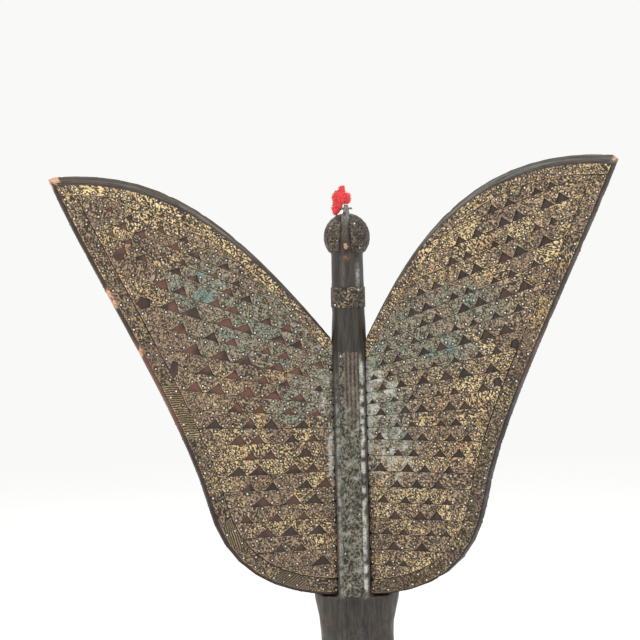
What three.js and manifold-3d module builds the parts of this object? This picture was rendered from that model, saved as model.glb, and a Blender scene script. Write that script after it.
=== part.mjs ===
// Standing bird figure of carved wood, with two raised wings that are separate boards.
// The backs of the wings and body are clad in embossed sheet metal, cut in rows like feathers.
// Millimetres, +Z up. The bird faces -Y and stands on the plinth that it is carved with.
// The origin is the centre of the plinth's underside.
import * as THREE from "three";
import { mergeVertices } from "three/addons/utils/BufferGeometryUtils.js";
import Module from "manifold-3d";

const wasm = await Module();
wasm.setup();

// Driving heights, stacked from the ground up
const plinthHeight = 56;
const legLength = 149;
const torsoLength = 537;
const neckLength = 133.5;

// Plinth
const plinthRadius = 126;
const plinthWaistInset = 22;
const plinthFootHeight = 22;

// Torso, widest at the belly
const bellyHalfWidth = 82;
const bellyFront = 132;
const spineBack = 26;
const spineGrooveWidth = 4.6;
const spineGrooveDepth = 5;

// Neck and head
const neckFootRadius = 29;
const neckRadius = 27;
const headHalfWidth = 37;
const headHalfDepth = 43;
const headHalfHeight = 38;
const headForward = 6;
const crestThickness = 9;
const crestProud = 4.5;
const crestTabHeight = 53.5;
const crestTabHalfLength = 10;
const crestHoleRadius = 2.8;
const crestHoleBelowTop = 6.5;
const eyeRadius = 8;
const eyeStandOff = 4;

// Beak, legs and tail
const beakReach = 118;
const beakRootHalfWidth = 15;
const beakTipHalfWidth = 8;
const legSpread = 40;
const legRadius = 18;
const footLength = 66;
const footHalfWidth = 14;
const footHeight = 13;
const tailHalfWidth = 34;
const tailHalfDepth = 11;
const tailInsideWaist = 12;

// Wing boards
const wingSweepDegrees = 20;
const wingThickness = 22;
const wingRootOffset = 27;
const wingBackFace = 8;
const wingFootBelowShoulder = 424;
const rimBevelDepth = 9;
const frontBevel = 6;
const bareRimAtRoot = 5.5;
const bareRimAtTip = 15;

// Sheet metal
const sheetThickness = 0.9;
const sheetClearance = 0.35;
const rowGap = 0.7;
const leadingBorderWidth = 16;
const outerBorderWidth = 22;
const straightRows = 9;
const fannedRows = 9;
const tipRows = 5;
const fanStartBelowShoulder = 165;
const fanEndAboveShoulder = 7.5;
const backSheetHalfWidth = 16.5;
const backSheetTopBelowShoulder = 20;
const backSheetFluteDepth = 1.1;
const neckBandWidth = 33;
const neckBandAboveShoulder = 53;
const cheekPlateFromCrest = 1;
const cheekPlateFlare = 5.5;

// Red cotton tied to the crest
const tuftHalfWidth = 10.5;

// Fits
const seatClearance = 0.35;
const cordClearance = 1.0;

// Heights that follow
const rumpHeight = plinthHeight + legLength;
const shoulderHeight = rumpHeight + torsoLength;
const headHeight = shoulderHeight + neckLength + headHalfHeight * 0.92;
const crestTop = headHeight + crestTabHeight;
const sheetTop = shoulderHeight - backSheetTopBelowShoulder;
const wingFoot = shoulderHeight - wingFootBelowShoulder;

// The two wings were cut by eye, so each has its own outline. The leading edge runs from root to
// tip, the outer edge from the tip down to where it turns in, and the lower edge from there back to
// the root. Their points are shares: out from the root, of the wing's reach, and up from the
// shoulder, of the tip's height over it or, below the shoulder, of the depth of the wing's foot.
const leftWing = {
  name: "left",
  side: 1,
  reach: 457,
  tipAboveShoulder: 275,
  leading: [[0, 0.015], [0.334, 0.683], [0.576, 1.049], [0.982, 1]],
  outer: [[1, 0.987], [0.897, 0.536], [0.555, -0.254], [0.467, -0.618]],
  lower: [[0.467, -0.618], [0.423, -0.83], [0.294, -0.976], [0, -1]],
  bareOuterMargin: 5,
  fanSlope: 0.42,
  notchSpacing: 46,
  notchWidth: 29,
  notchHeight: 16,
  notchSkew: -0.22,
  phase: 0.3,
};
const rightWing = {
  name: "right",
  side: -1,
  reach: 429,
  tipAboveShoulder: 286,
  leading: [[0, 0.026], [0.155, 0.441], [0.396, 1.088], [0.984, 1]],
  outer: [[1, 0.976], [0.834, 0.384], [0.525, -0.292], [0.47, -0.618]],
  lower: [[0.47, -0.618], [0.428, -0.83], [0.3, -0.976], [0, -1]],
  bareOuterMargin: 2.5,
  fanSlope: 0.36,
  notchSpacing: 38,
  notchWidth: 22,
  notchHeight: 12.5,
  notchSkew: 0.05,
  phase: 1.7,
};

// Solids

// A geometry with merged corners, as a solid that can be joined and cut.
function solidOf(geometry) {
  const bare = geometry.clone();
  bare.deleteAttribute("normal");
  bare.deleteAttribute("uv");
  const merged = mergeVertices(bare, 1e-4);
  return new wasm.Manifold(
    new wasm.Mesh({
      numProp: 3,
      vertProperties: merged.attributes.position.array,
      triVerts: new Uint32Array(merged.index.array),
    }),
  );
}

// A solid as a geometry with flat faces.
function geometryOf(solid) {
  const { vertProperties, triVerts } = solid.getMesh();
  const geometry = new THREE.BufferGeometry();
  const position = new THREE.BufferAttribute(new Float32Array(vertProperties), 3);
  geometry.setAttribute("position", position);
  geometry.setIndex(new THREE.BufferAttribute(new Uint32Array(triVerts), 1));
  const flat = geometry.toNonIndexed();
  flat.computeVertexNormals();
  return flat;
}

function joined(solids) {
  return solids.reduce((whole, solid) => whole.add(solid));
}

function without(solid, cuts) {
  return cuts.reduce((left, cut) => left.subtract(cut), solid);
}

// A closed skin over rings of equally many points, with a fan over each end ring.
function skinOver(rings) {
  const sides = rings[0].length;
  const points = rings.flat();
  const faces = [];
  for (let ring = 0; ring + 1 < rings.length; ring++) {
    for (let side = 0; side < sides; side++) {
      const a = ring * sides + side;
      const b = ring * sides + ((side + 1) % sides);
      faces.push(a, b, b + sides, a, b + sides, a + sides);
    }
  }
  const lastRing = rings.length - 1;
  for (const ring of [0, lastRing]) {
    const middle = new THREE.Vector3();
    rings[ring].forEach((point) => middle.addScaledVector(point, 1 / sides));
    const hub = points.push(middle) - 1;
    for (let side = 0; side < sides; side++) {
      const a = ring * sides + side;
      const b = ring * sides + ((side + 1) % sides);
      faces.push(...(ring === lastRing ? [hub, a, b] : [hub, b, a]));
    }
  }
  const geometry = new THREE.BufferGeometry().setFromPoints(points);
  geometry.setIndex(faces);
  return geometry;
}

function smoothCurve(points) {
  return new THREE.CatmullRomCurve3(points, false, "catmullrom", 0.5);
}

// A limb of oval section along stations of [x, y, z, half width, half depth], smoothed between.
function limb(stations, sides, stepsPerStation) {
  const line = smoothCurve(stations.map(([x, y, z]) => new THREE.Vector3(x, y, z)));
  const girth = smoothCurve(stations.map(([, , , width, depth]) => new THREE.Vector3(width, depth, 0)));
  const steps = (stations.length - 1) * stepsPerStation;
  const across = new THREE.Vector3(1, 0, 0);
  const rings = Array.from({ length: steps + 1 }, (_, step) => {
    const share = step / steps;
    const centre = line.getPoint(share);
    const half = girth.getPoint(share);
    const outward = line.getTangent(share).cross(across).normalize();
    return Array.from({ length: sides }, (_, side) => {
      const angle = (2 * Math.PI * side) / sides;
      const point = centre.clone().addScaledVector(across, half.x * Math.cos(angle));
      return point.addScaledVector(outward, half.y * Math.sin(angle));
    });
  });
  return solidOf(skinOver(rings));
}

function shapeOf(outline) {
  return new THREE.Shape(outline.map(([across, up]) => new THREE.Vector2(across, up)));
}

// An outline of [x, z] pairs, made thick from backY towards -Y.
function slab(outline, backY, thickness) {
  const settings = { depth: thickness, bevelEnabled: false };
  const geometry = new THREE.ExtrudeGeometry(shapeOf(outline), settings);
  return solidOf(geometry.rotateX(Math.PI / 2).translate(0, backY, 0));
}

// An outline of [x, y] pairs, raised from lowZ to highZ.
function column(outline, lowZ, highZ) {
  const settings = { depth: highZ - lowZ, bevelEnabled: false };
  return solidOf(new THREE.ExtrudeGeometry(shapeOf(outline), settings).translate(0, 0, lowZ));
}

function ellipsoid(centre, half, around, rings) {
  const geometry = new THREE.SphereGeometry(1, around, rings).rotateX(Math.PI / 2);
  return solidOf(geometry.scale(...half).translate(...centre));
}

// A profile of [radius, z] pairs turned about the Z axis.
function turned(profile, sides) {
  const points = profile.map(([radius, height]) => new THREE.Vector2(radius, height));
  return solidOf(new THREE.LatheGeometry(points, sides).rotateX(Math.PI / 2));
}

// Carved bird

// Stations of the torso: share of its length above the rump, then its half width, front and back as
// shares of the belly's half width, the belly's front and the spine's back.
const torsoShape = [
  [0.0, 0.34, 0.2, 0.1],
  [0.035, 0.56, 0.42, 0.75],
  [0.1, 0.73, 0.62, 1.05],
  [0.19, 0.86, 0.8, 1.15],
  [0.3, 0.95, 0.94, 1.15],
  [0.43, 1.0, 1.0, 1.15],
  [0.58, 0.97, 0.95, 1.15],
  [0.7, 0.84, 0.79, 1.15],
  [0.82, 0.66, 0.56, 1.15],
  [0.92, 0.49, 0.36, 1.15],
  [1.0, 0.355, 0.22, 1.12],
];

function torso() {
  const stations = torsoShape.map(([rise, width, front, back]) => {
    const frontY = -bellyFront * front;
    const backY = spineBack * back;
    const height = rumpHeight + torsoLength * rise;
    return [0, (frontY + backY) / 2, height, bellyHalfWidth * width, (backY - frontY) / 2];
  });
  return limb(stations, 28, 1);
}

const neckSides = 20;
const neckBandFoot = shoulderHeight + neckBandAboveShoulder;
const neckBandTop = neckBandFoot + neckBandWidth;

// The neck is straight where the metal band goes round it.
function neck() {
  const straightPastBand = 2;
  const buried = 34;
  return limb(
    [
      [0, 0, shoulderHeight - buried, neckFootRadius + 2, neckFootRadius],
      [0, 0, shoulderHeight, neckFootRadius, neckFootRadius],
      [0, 0, neckBandFoot - straightPastBand, neckRadius, neckRadius],
      [0, 0, neckBandTop + straightPastBand, neckRadius, neckRadius],
      [0, -headForward / 2, headHeight, neckRadius * 0.97, neckRadius],
    ],
    neckSides,
    1,
  );
}

const headCentre = [0, -headForward, headHeight];
const headHalf = [headHalfWidth, headHalfDepth, headHalfHeight];
const headFacets = [22, 13];
const crestHole = { y: -headForward, z: crestTop - crestHoleBelowTop };

// The thin crest over the middle of the head, with its pierced tab on top.
function crest() {
  const [browDegrees, tabFrontDegrees, tabBackDegrees, napeDegrees] = [20, 70, 108, 188];
  const stepDegrees = 10;
  const buried = -9;
  const tabRound = crestTabHalfLength * 0.5;
  // Points in Y and Z, a little off the head's own outline.
  const offHead = (degrees, lift) => {
    const angle = THREE.MathUtils.degToRad(degrees);
    const forward = (headHalfDepth + lift) * Math.cos(angle);
    return [-headForward - forward, headHeight + (headHalfHeight + lift) * Math.sin(angle)];
  };
  const shape = new THREE.Shape();
  shape.moveTo(...offHead(browDegrees, buried));
  for (let degrees = browDegrees; degrees <= tabFrontDegrees; degrees += stepDegrees) {
    shape.lineTo(...offHead(degrees, crestProud * Math.min(1, (degrees - 10) / 30)));
  }
  const [tabFront, tabBack] = [-headForward - crestTabHalfLength, -headForward + crestTabHalfLength];
  shape.lineTo(tabFront, crestTop - tabRound);
  shape.quadraticCurveTo(tabFront, crestTop, -headForward, crestTop);
  shape.quadraticCurveTo(tabBack, crestTop, tabBack, crestTop - tabRound);
  for (let degrees = tabBackDegrees; degrees <= napeDegrees; degrees += stepDegrees) {
    shape.lineTo(...offHead(degrees, crestProud * Math.min(1, (200 - degrees) / 40)));
  }
  shape.lineTo(...offHead(napeDegrees, buried));
  const settings = { depth: crestThickness, bevelEnabled: false, curveSegments: 5 };
  const plate = new THREE.ExtrudeGeometry(shape, settings).translate(0, 0, -crestThickness / 2);
  const [x, y, z] = [0, 1, 2].map((axis) => new THREE.Vector3().setComponent(axis, 1));
  plate.applyMatrix4(new THREE.Matrix4().makeBasis(y, z, x));
  const bore = new THREE.CylinderGeometry(crestHoleRadius, crestHoleRadius, crestThickness * 2, 12);
  bore.rotateZ(Math.PI / 2).translate(0, crestHole.y, crestHole.z);
  return solidOf(plate).subtract(solidOf(bore));
}

// The long beak, bent down until its tip is part of the breast.
function beak() {
  const root = -headForward - headHalfDepth * 0.55;
  const drop = headHeight - rumpHeight;
  const course = [
    [0, 0.005, beakRootHalfWidth * 1.35, headHalfHeight * 0.62],
    [0.34, -0.03, beakRootHalfWidth, headHalfHeight * 0.44],
    [0.67, -0.13, beakRootHalfWidth * 0.86, beakRootHalfWidth * 0.95],
    [0.8, -0.26, beakRootHalfWidth * 0.76, beakRootHalfWidth * 0.85],
    [0.76, -0.38, beakTipHalfWidth * 1.15, beakTipHalfWidth * 1.25],
    [0.6, -0.48, beakTipHalfWidth, beakTipHalfWidth],
  ];
  const stations = course.map(([reach, fall, halfWidth, halfDepth]) => {
    return [0, root - beakReach * reach, headHeight + drop * fall, halfWidth, halfDepth];
  });
  return limb(stations, 12, 2);
}

function eye(side) {
  const sunk = headHalfWidth * 0.5;
  const geometry = new THREE.CylinderGeometry(eyeRadius * 0.7, eyeRadius, sunk, 14);
  geometry.rotateZ((-side * Math.PI) / 2);
  const out = headHalfWidth * 0.8 + eyeStandOff - sunk / 2;
  const forward = -headForward - headHalfDepth * 0.55;
  return solidOf(geometry.translate(side * out, forward, headHeight + headHalfHeight * 0.16));
}

function leg(side) {
  const x = side * legSpread;
  const knee = rumpHeight - legLength * 0.26;
  const ankle = -bellyFront * 0.16;
  const bones = limb(
    [
      [x * 0.8, -bellyFront * 0.14, rumpHeight + legLength * 0.5, legRadius * 1.7, legRadius * 1.9],
      [x * 0.92, -bellyFront * 0.3, rumpHeight + legLength * 0.12, legRadius * 1.35, legRadius * 1.5],
      [x, -bellyFront * 0.4, knee, legRadius * 1.05, legRadius * 1.1],
      [x, -bellyFront * 0.24, plinthHeight + legLength * 0.3, legRadius * 0.85, legRadius * 0.85],
      [x, ankle, plinthHeight - footHeight / 2, legRadius, legRadius],
    ],
    12,
    2,
  );
  const heel = ankle + legRadius;
  const toe = heel - footLength;
  const ball = toe + footLength * 0.15;
  const outline = [
    [x - footHalfWidth * 0.8, heel],
    [x + footHalfWidth * 0.8, heel],
    [x + footHalfWidth * 1.25, ball],
    [x, toe],
    [x - footHalfWidth * 1.25, ball],
  ];
  return bones.add(column(outline, plinthHeight - footHeight / 3, plinthHeight + footHeight));
}

// The tail is a flat paddle that comes down to the plinth as a third leg.
function tail() {
  const top = rumpHeight + torsoLength * 0.16;
  const foot = plinthHeight - 5;
  const back = plinthRadius - plinthWaistInset - tailInsideWaist;
  const course = [
    [0, 0, tailHalfWidth * 0.8, tailHalfDepth * 1.6],
    [0.34, 0.34, tailHalfWidth * 0.78, tailHalfDepth * 1.2],
    [0.66, 0.72, tailHalfWidth * 0.95, tailHalfDepth],
    [1, 1, tailHalfWidth * 1.2, tailHalfDepth],
  ];
  const stations = course.map(([fall, reach, halfWidth, halfDepth]) => {
    return [0, back * reach, top + (foot - top) * fall, halfWidth, halfDepth];
  });
  return limb(stations, 14, 2);
}

function plinth() {
  const waist = plinthRadius - plinthWaistInset;
  const profile = [
    [0, 0],
    [plinthRadius - 3, 0],
    [plinthRadius, 3],
    [plinthRadius, plinthFootHeight - 3],
    [plinthRadius - 4, plinthFootHeight],
    [waist, plinthFootHeight + 6],
    [waist + 8, plinthHeight - 6],
    [waist + 2, plinthHeight],
    [0, plinthHeight],
  ];
  return turned(profile, 32);
}

// A wing's own frame stands at the shoulder: X runs out along the wing, turned with its sweep, and
// +Y leaves the clad face.
function wingFrame(wing) {
  const frame = new THREE.Group();
  frame.position.set(wing.side * wingRootOffset, wingBackFace, shoulderHeight);
  frame.rotation.z = wing.side * THREE.MathUtils.degToRad(wingSweepDegrees);
  frame.updateMatrixWorld(true);
  return frame;
}

// The housing that takes the root of a wing: the board's own slot, and all that stood behind it.
function wingHousing(wing) {
  const low = -wingFootBelowShoulder - seatClearance;
  const high = neckLength * 0.45;
  const reach = bellyHalfWidth * 2;
  const behind = spineBack * 4;
  const outlineFrom = (inner) => [
    [wing.side * inner, low],
    [wing.side * reach, low],
    [wing.side * reach, high],
    [wing.side * inner, high],
  ];
  const toBird = wingFrame(wing).matrixWorld.elements.slice();
  const slot = slab(outlineFrom(-seatClearance), 0, wingThickness + seatClearance);
  const spaceBehind = slab(outlineFrom(-reach), behind, behind + 1);
  const wall = wing.side * (wingRootOffset - seatClearance);
  const far = wing.side * reach * 2;
  const outside = column(
    [[wall, -reach], [far, -reach], [far, reach], [wall, reach]],
    0,
    shoulderHeight + high,
  );
  return slot.transform(toBird).add(spaceBehind.transform(toBird).intersect(outside));
}

// How far back the body's clad panel stands at a distance across from the middle.
function panelBack(across) {
  const fall = 2.2;
  return spineBack - fall * (across / backSheetHalfWidth) ** 2;
}

// What is taken off the bird's back to leave the panel and the groove along each side of it.
function panelCut() {
  const spots = 12;
  const reach = wingRootOffset * 1.5;
  const clearBehind = spineBack * 3;
  const profile = Array.from({ length: spots + 1 }, (_, spot) => {
    const across = reach * ((2 * spot) / spots - 1);
    return [across, panelBack(Math.min(Math.abs(across), wingRootOffset))];
  });
  const outline = [[reach, clearBehind], [-reach, clearBehind], ...profile];
  const face = column(outline, wingFoot, sheetTop + seatClearance);
  const near = backSheetHalfWidth + seatClearance;
  const far = near + spineGrooveWidth;
  const floor = panelBack(far) - spineGrooveDepth;
  const grooves = [1, -1].map((side) => {
    const section = [
      [side * near, clearBehind],
      [side * far, clearBehind],
      [side * (far - 1.2), floor],
      [side * (near + 1.2), floor],
    ];
    return column(section, wingFoot, shoulderHeight);
  });
  return joined([face, ...grooves]);
}

function carvedBird() {
  const head = ellipsoid(headCentre, headHalf, ...headFacets);
  const masses = [torso(), neck(), head, crest(), beak(), eye(1), eye(-1)];
  masses.push(leg(1), leg(-1), tail(), plinth());
  return without(joined(masses), [wingHousing(leftWing), wingHousing(rightWing), panelCut()]);
}

// Wing boards, in the frame of their own wing

function pathOf(controls, wing, steps) {
  const points = controls.map(([out, up]) => {
    const height = up > 0 ? wing.tipAboveShoulder : wingFootBelowShoulder;
    return new THREE.Vector2(wing.side * wing.reach * out, up * height);
  });
  return new THREE.CubicBezierCurve(...points).getSpacedPoints(steps);
}

// The wing's two edges as points: the leading edge from root to tip, and the rest from the blunt
// tip round to the foot of the root.
function edgesOf(wing) {
  const leading = pathOf(wing.leading, wing, 16);
  const outer = pathOf(wing.outer, wing, 13);
  const lower = pathOf(wing.lower, wing, 8);
  return { leading, outer: [...outer, ...lower.slice(1)] };
}

function outlineOf({ leading, outer }) {
  return [...leading, ...outer].map((point) => [point.x, point.y]);
}

// A path moved into the wing by inset(share along it), and drawn on a little past both ends.
function insetPath(path, side, inset) {
  const drawnOn = 45;
  const last = path.length - 1;
  const moved = path.map((point, index) => {
    const before = path[Math.max(index - 1, 0)];
    const after = path[Math.min(index + 1, last)];
    const along = after.clone().sub(before).normalize();
    const inward = new THREE.Vector2(along.y, -along.x).multiplyScalar(side);
    return point.clone().addScaledVector(inward, inset(index / last));
  });
  const beyond = (end, next) => {
    return end.clone().addScaledVector(end.clone().sub(next).normalize(), drawnOn);
  };
  return [beyond(moved[0], moved[1]), ...moved, beyond(moved[last], moved[last - 1])];
}

// The band of face between two insets of a path. It is thicker than the board unless told.
function bandAlong(path, side, from, to, backY = wingThickness, thickness = wingThickness * 3) {
  const near = insetPath(path, side, from);
  const far = insetPath(path, side, to).reverse();
  const outline = [...near, ...far].map((point) => [point.x, point.y]);
  return slab(outline, backY, thickness);
}

// A long wedge that takes the corner off an edge, width into the face and depth down the edge.
// Direction is 1 where the board lies towards -Y of the face, and -1 where it lies towards +Y.
function edgeWedge(path, side, width, depth, faceY, direction) {
  const outside = 6;
  const rims = insetPath(path, side, () => -outside);
  const lips = insetPath(path, side, width);
  const last = path.length - 1;
  const rings = rims.map((rim, index) => {
    const share = THREE.MathUtils.clamp((index - 1) / last, 0, 1);
    const lip = lips[index];
    const fall = direction * depth * (1 + outside / width(share));
    const ring = [
      new THREE.Vector3(lip.x, faceY, lip.y),
      new THREE.Vector3(rim.x, faceY + fall, rim.y),
      new THREE.Vector3(rim.x, faceY - fall, rim.y),
    ];
    return side * direction > 0 ? ring : ring.reverse();
  });
  return solidOf(skinOver(rings));
}

function bareRim(share) {
  const fullFrom = 0.67;
  return THREE.MathUtils.lerp(bareRimAtRoot, bareRimAtTip, Math.min(1, share / fullFrom));
}

function leadingClad(share) {
  return bareRim(share) + leadingBorderWidth;
}

function wingBoard(wing, edges) {
  const board = slab(outlineOf(edges), 0, wingThickness);
  const backEdge = edgeWedge(edges.leading, wing.side, bareRim, rimBevelDepth, 0, 1);
  const frontEdge = edgeWedge(edges.leading, wing.side, () => frontBevel, frontBevel, -wingThickness, -1);
  return without(board, [backEdge, frontEdge]);
}

// Sheet metal on a wing

const sheetFace = sheetClearance + sheetThickness;

function outerClad(wing) {
  return wing.bareOuterMargin + outerBorderWidth;
}

function pastEdge() {
  return -10;
}

// The face that sheet metal may cover, clear of the body at the wing's root.
function openFace(wing, edges) {
  const root = [-rowGap, rowGap].map((across) => wing.side * across);
  const [low, high] = [-2 * wingFootBelowShoulder, 2 * wingFootBelowShoulder];
  const outline = [[root[0], low], [root[1], low], [root[1], high], [root[0], high]];
  const atRoot = slab(outline, wingThickness, wingThickness * 3);
  return slab(outlineOf(edges), wingThickness, wingThickness * 3).subtract(atRoot);
}

// The part of a wing's face inside its leading border, and inside a distance from its outer edge.
function insideBorders(wing, edges, fromOuter) {
  return [
    bandAlong(edges.leading, wing.side, pastEdge, (share) => leadingClad(share) + rowGap),
    bandAlong(edges.outer, wing.side, pastEdge, () => fromOuter),
  ];
}

function leadingBorder(wing, edges) {
  const band = bandAlong(edges.leading, wing.side, bareRim, leadingClad, sheetFace, sheetThickness);
  const bare = bandAlong(edges.outer, wing.side, pastEdge, () => wing.bareOuterMargin);
  return band.intersect(openFace(wing, edges)).subtract(bare);
}

function outerBorder(wing, edges) {
  const [from, to] = [() => wing.bareOuterMargin, () => outerClad(wing)];
  const band = bandAlong(edges.outer, wing.side, from, to, sheetFace, sheetThickness);
  const taken = bandAlong(edges.leading, wing.side, pastEdge, (share) => leadingClad(share) + rowGap);
  return band.intersect(openFace(wing, edges)).subtract(taken);
}

// The highest that the leading edge stands over a line of the fan's slope through the shoulder.
function leadingPeak(wing, edges) {
  return Math.max(...edges.leading.map((point) => point.y - Math.abs(point.x) * wing.fanSlope));
}

// Lines between the rows, from the foot up: height at the root, and rise per millimetre outwards.
// The rows are level low down, open like a fan up to the shoulder, and lie parallel from there on.
function rowLines(wing, edges) {
  const foot = -wingFootBelowShoulder + outerClad(wing) + rowGap;
  const fanStart = -fanStartBelowShoulder;
  const fanEnd = fanEndAboveShoulder;
  const top = leadingPeak(wing, edges) - bareRimAtTip - leadingBorderWidth * 0.8;
  const lines = [];
  for (let row = 0; row <= straightRows; row++) {
    lines.push({ height: THREE.MathUtils.lerp(foot, fanStart, row / straightRows), slope: 0 });
  }
  for (let row = 1; row <= fannedRows; row++) {
    const share = row / fannedRows;
    const height = THREE.MathUtils.lerp(fanStart, fanEnd, share);
    lines.push({ height, slope: wing.fanSlope * share });
  }
  for (let row = 1; row <= tipRows; row++) {
    const height = THREE.MathUtils.lerp(fanEnd, top, row / tipRows);
    lines.push({ height, slope: wing.fanSlope });
  }
  return lines;
}

// A hand's irregularity, from -1 to 1, always the same for the same row and place.
function unevenness(row, place, phase) {
  return Math.sin(row * 12.9898 + place * 78.233 + phase * 37.719);
}

function distanceTo(path, [x, y]) {
  const spot = new THREE.Vector3(x, y, 0);
  const ends = path.map((point) => new THREE.Vector3(point.x, point.y, 0));
  const distances = ends.slice(1).map((end, index) => {
    const nearest = new THREE.Line3(ends[index], end).closestPointToPoint(spot, true, new THREE.Vector3());
    return nearest.distanceTo(spot);
  });
  return Math.min(...distances);
}

function levelRowHeight(wing) {
  return (wingFootBelowShoulder - outerClad(wing) - fanStartBelowShoulder) / straightRows;
}

// The three-cornered notches that leave rounded feathers along the lower edge of a row. They grow
// with the row where it fans out.
function rowNotches(wing, edges, row, lower, upper) {
  const most = 1.3;
  const tilt = Math.atan(lower.slope);
  const spacing = wing.notchSpacing * Math.cos(tilt);
  const reach = Math.abs(edges.outer[0].x);
  const notches = [];
  for (let place = 0; place * spacing < reach; place++) {
    const shift = (row % 2 ? 0.73 : 0.28) + 0.16 * unevenness(row, place, wing.phase);
    const out = (place + shift) * spacing;
    const height = lower.height + out * lower.slope + rowGap / 2;
    const rowHeight = (upper.height + out * upper.slope - height) * Math.cos(tilt);
    const uneven = 1 + 0.22 * unevenness(place, row, wing.phase);
    const size = Math.min(most, (uneven * rowHeight) / levelRowHeight(wing));
    const half = (wing.notchWidth * size) / 2;
    const tall = Math.min(wing.notchHeight * size, rowHeight * 0.62);
    const onWing = (along, up) => [
      wing.side * (out + along * Math.cos(tilt) - up * Math.sin(tilt)),
      height + along * Math.sin(tilt) + up * Math.cos(tilt),
    ];
    const apex = onWing(half * wing.notchSkew, tall);
    const clearOfLeading = distanceTo(edges.leading, apex) > leadingClad(1) + tall * 0.4;
    const clearOfOuter = distanceTo(edges.outer, onWing(half, 0)) > outerClad(wing) + half * 0.5;
    if (clearOfLeading && clearOfOuter && out > half * 1.4) {
      const outline = [onWing(-half, -rowGap), onWing(half, -rowGap), apex];
      notches.push(slab(outline, wingThickness, wingThickness * 3));
    }
  }
  return notches;
}

// One row of feathers: the face between two row lines, inside the borders, with its notches cut.
function featherRow(wing, edges, row, lower, upper) {
  const reach = Math.abs(edges.outer[0].x);
  const cutShortBy = 0.5 * (1.2 + unevenness(row, 3, wing.phase));
  const lineAt = (line, out, shift) => [wing.side * out, line.height + out * line.slope + shift];
  const outline = [
    lineAt(lower, 0, rowGap / 2),
    lineAt(lower, reach, rowGap / 2),
    lineAt(upper, reach, -rowGap / 2),
    lineAt(upper, 0, -rowGap / 2),
  ];
  const whole = slab(outline, sheetFace, sheetThickness).intersect(openFace(wing, edges));
  const trims = insideBorders(wing, edges, outerClad(wing) + rowGap + cutShortBy);
  const cut = without(whole, [...trims, ...rowNotches(wing, edges, row, lower, upper)]);
  // A notch may part an offcut from the end of a row; only the row itself is nailed on.
  return cut.decompose().reduce((most, body) => (body.volume() > most.volume() ? body : most));
}

// Sheet metal on the bird

function backSheet() {
  const spots = 12;
  const flute = (spot) => backSheetFluteDepth * (spot % 3 === 1 ? 1 : 0.25);
  const across = (spot) => backSheetHalfWidth * ((2 * spot) / spots - 1);
  const inner = Array.from({ length: spots + 1 }, (_, spot) => {
    return [across(spot), panelBack(across(spot)) + sheetClearance];
  });
  const outer = inner.map(([x, y], spot) => [x, y + sheetThickness + flute(spot)]);
  return column([...inner, ...outer.reverse()], wingFoot + sheetClearance, sheetTop);
}

function neckBand() {
  const inner = neckRadius + sheetClearance;
  const outer = inner + sheetThickness;
  const profile = [
    [inner, neckBandFoot],
    [outer, neckBandFoot],
    [outer, neckBandTop],
    [inner, neckBandTop],
    [inner, neckBandFoot],
  ];
  return turned(profile, neckSides);
}

// A thin shell over one side of the back of the head.
function cheekPlate(side) {
  const headGrown = (by) => ellipsoid(headCentre, headHalf.map((half) => half + by), ...headFacets);
  const shell = headGrown(sheetFace).subtract(headGrown(sheetClearance));
  const nearCrest = crestThickness / 2 + cheekPlateFromCrest;
  const far = side * headHalfWidth * 2;
  const front = -headForward - headHalfDepth * 0.22;
  const back = headHalfDepth * 2;
  const [low, high] = [headHeight - headHalfHeight * 0.66, headHeight + headHalfHeight];
  const lowNear = side * (nearCrest + cheekPlateFlare);
  const outline = [[lowNear, low], [far, low], [far, high], [side * nearCrest, high]];
  const zone = slab(outline, back, back - front);
  const clearOfNeck = 1.03;
  return shell.intersect(zone).subtract(neck().scale([clearOfNeck, clearOfNeck, 1]));
}

// Red cotton tied through the crest's hole: a soft knot of yarn and the end that it hangs by. Its
// lobes are placed from the hole and the crest's top by shares of the tuft's half width.
function cottonTuft() {
  const { y, z } = crestHole;
  const past = crestThickness / 2 + tuftHalfWidth * 0.57;
  const course = [
    [-past, z],
    [0, z],
    [past, z],
    [past + tuftHalfWidth * 0.3, crestTop + tuftHalfWidth * 0.2],
    [past - tuftHalfWidth * 0.1, crestTop + tuftHalfWidth * 1.15],
  ];
  const tie = smoothCurve(course.map(([x, height]) => new THREE.Vector3(x, y, height)));
  const cordRadius = crestHoleRadius - cordClearance;
  const section = new THREE.Shape().absarc(0, 0, cordRadius, 0, 2 * Math.PI, false);
  const settings = { extrudePath: tie, steps: 9, curveSegments: 3, bevelEnabled: false };
  const cord = solidOf(new THREE.ExtrudeGeometry(section, settings));
  const lobes = [
    [[0.98, 0, 1.14], [1.2, 1.05, 1.02]],
    [[-0.1, -0.1, 1], [0.62, 0.76, 0.82]],
    [[0.6, 0, 2.35], [0.5, 0.5, 0.6]],
    [[1.45, 0.1, 0.14], [0.62, 0.67, 0.86]],
    [[1.62, 0.1, -0.8], [0.52, 0.57, 0.76]],
  ];
  const puffs = lobes.map(([centre, half]) => {
    const [x, forward, up] = centre.map((share) => share * tuftHalfWidth);
    const size = half.map((share) => share * tuftHalfWidth);
    return ellipsoid([x, y + forward, crestTop + up], size, 8, 6);
  });
  return joined([cord, ...puffs]);
}

// Finishes and assembly

const finishes = {
  wood: new THREE.MeshStandardMaterial({ color: 0x2e2622, roughness: 0.62, metalness: 0 }),
  brass: new THREE.MeshStandardMaterial({ color: 0x7d6c45, roughness: 0.5, metalness: 0.85 }),
  cotton: new THREE.MeshStandardMaterial({ color: 0xe01c22, roughness: 0.95, metalness: 0 }),
};

function piece(name, solid, finish) {
  const mesh = new THREE.Mesh(geometryOf(solid), finishes[finish]);
  mesh.name = name;
  return mesh;
}

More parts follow.
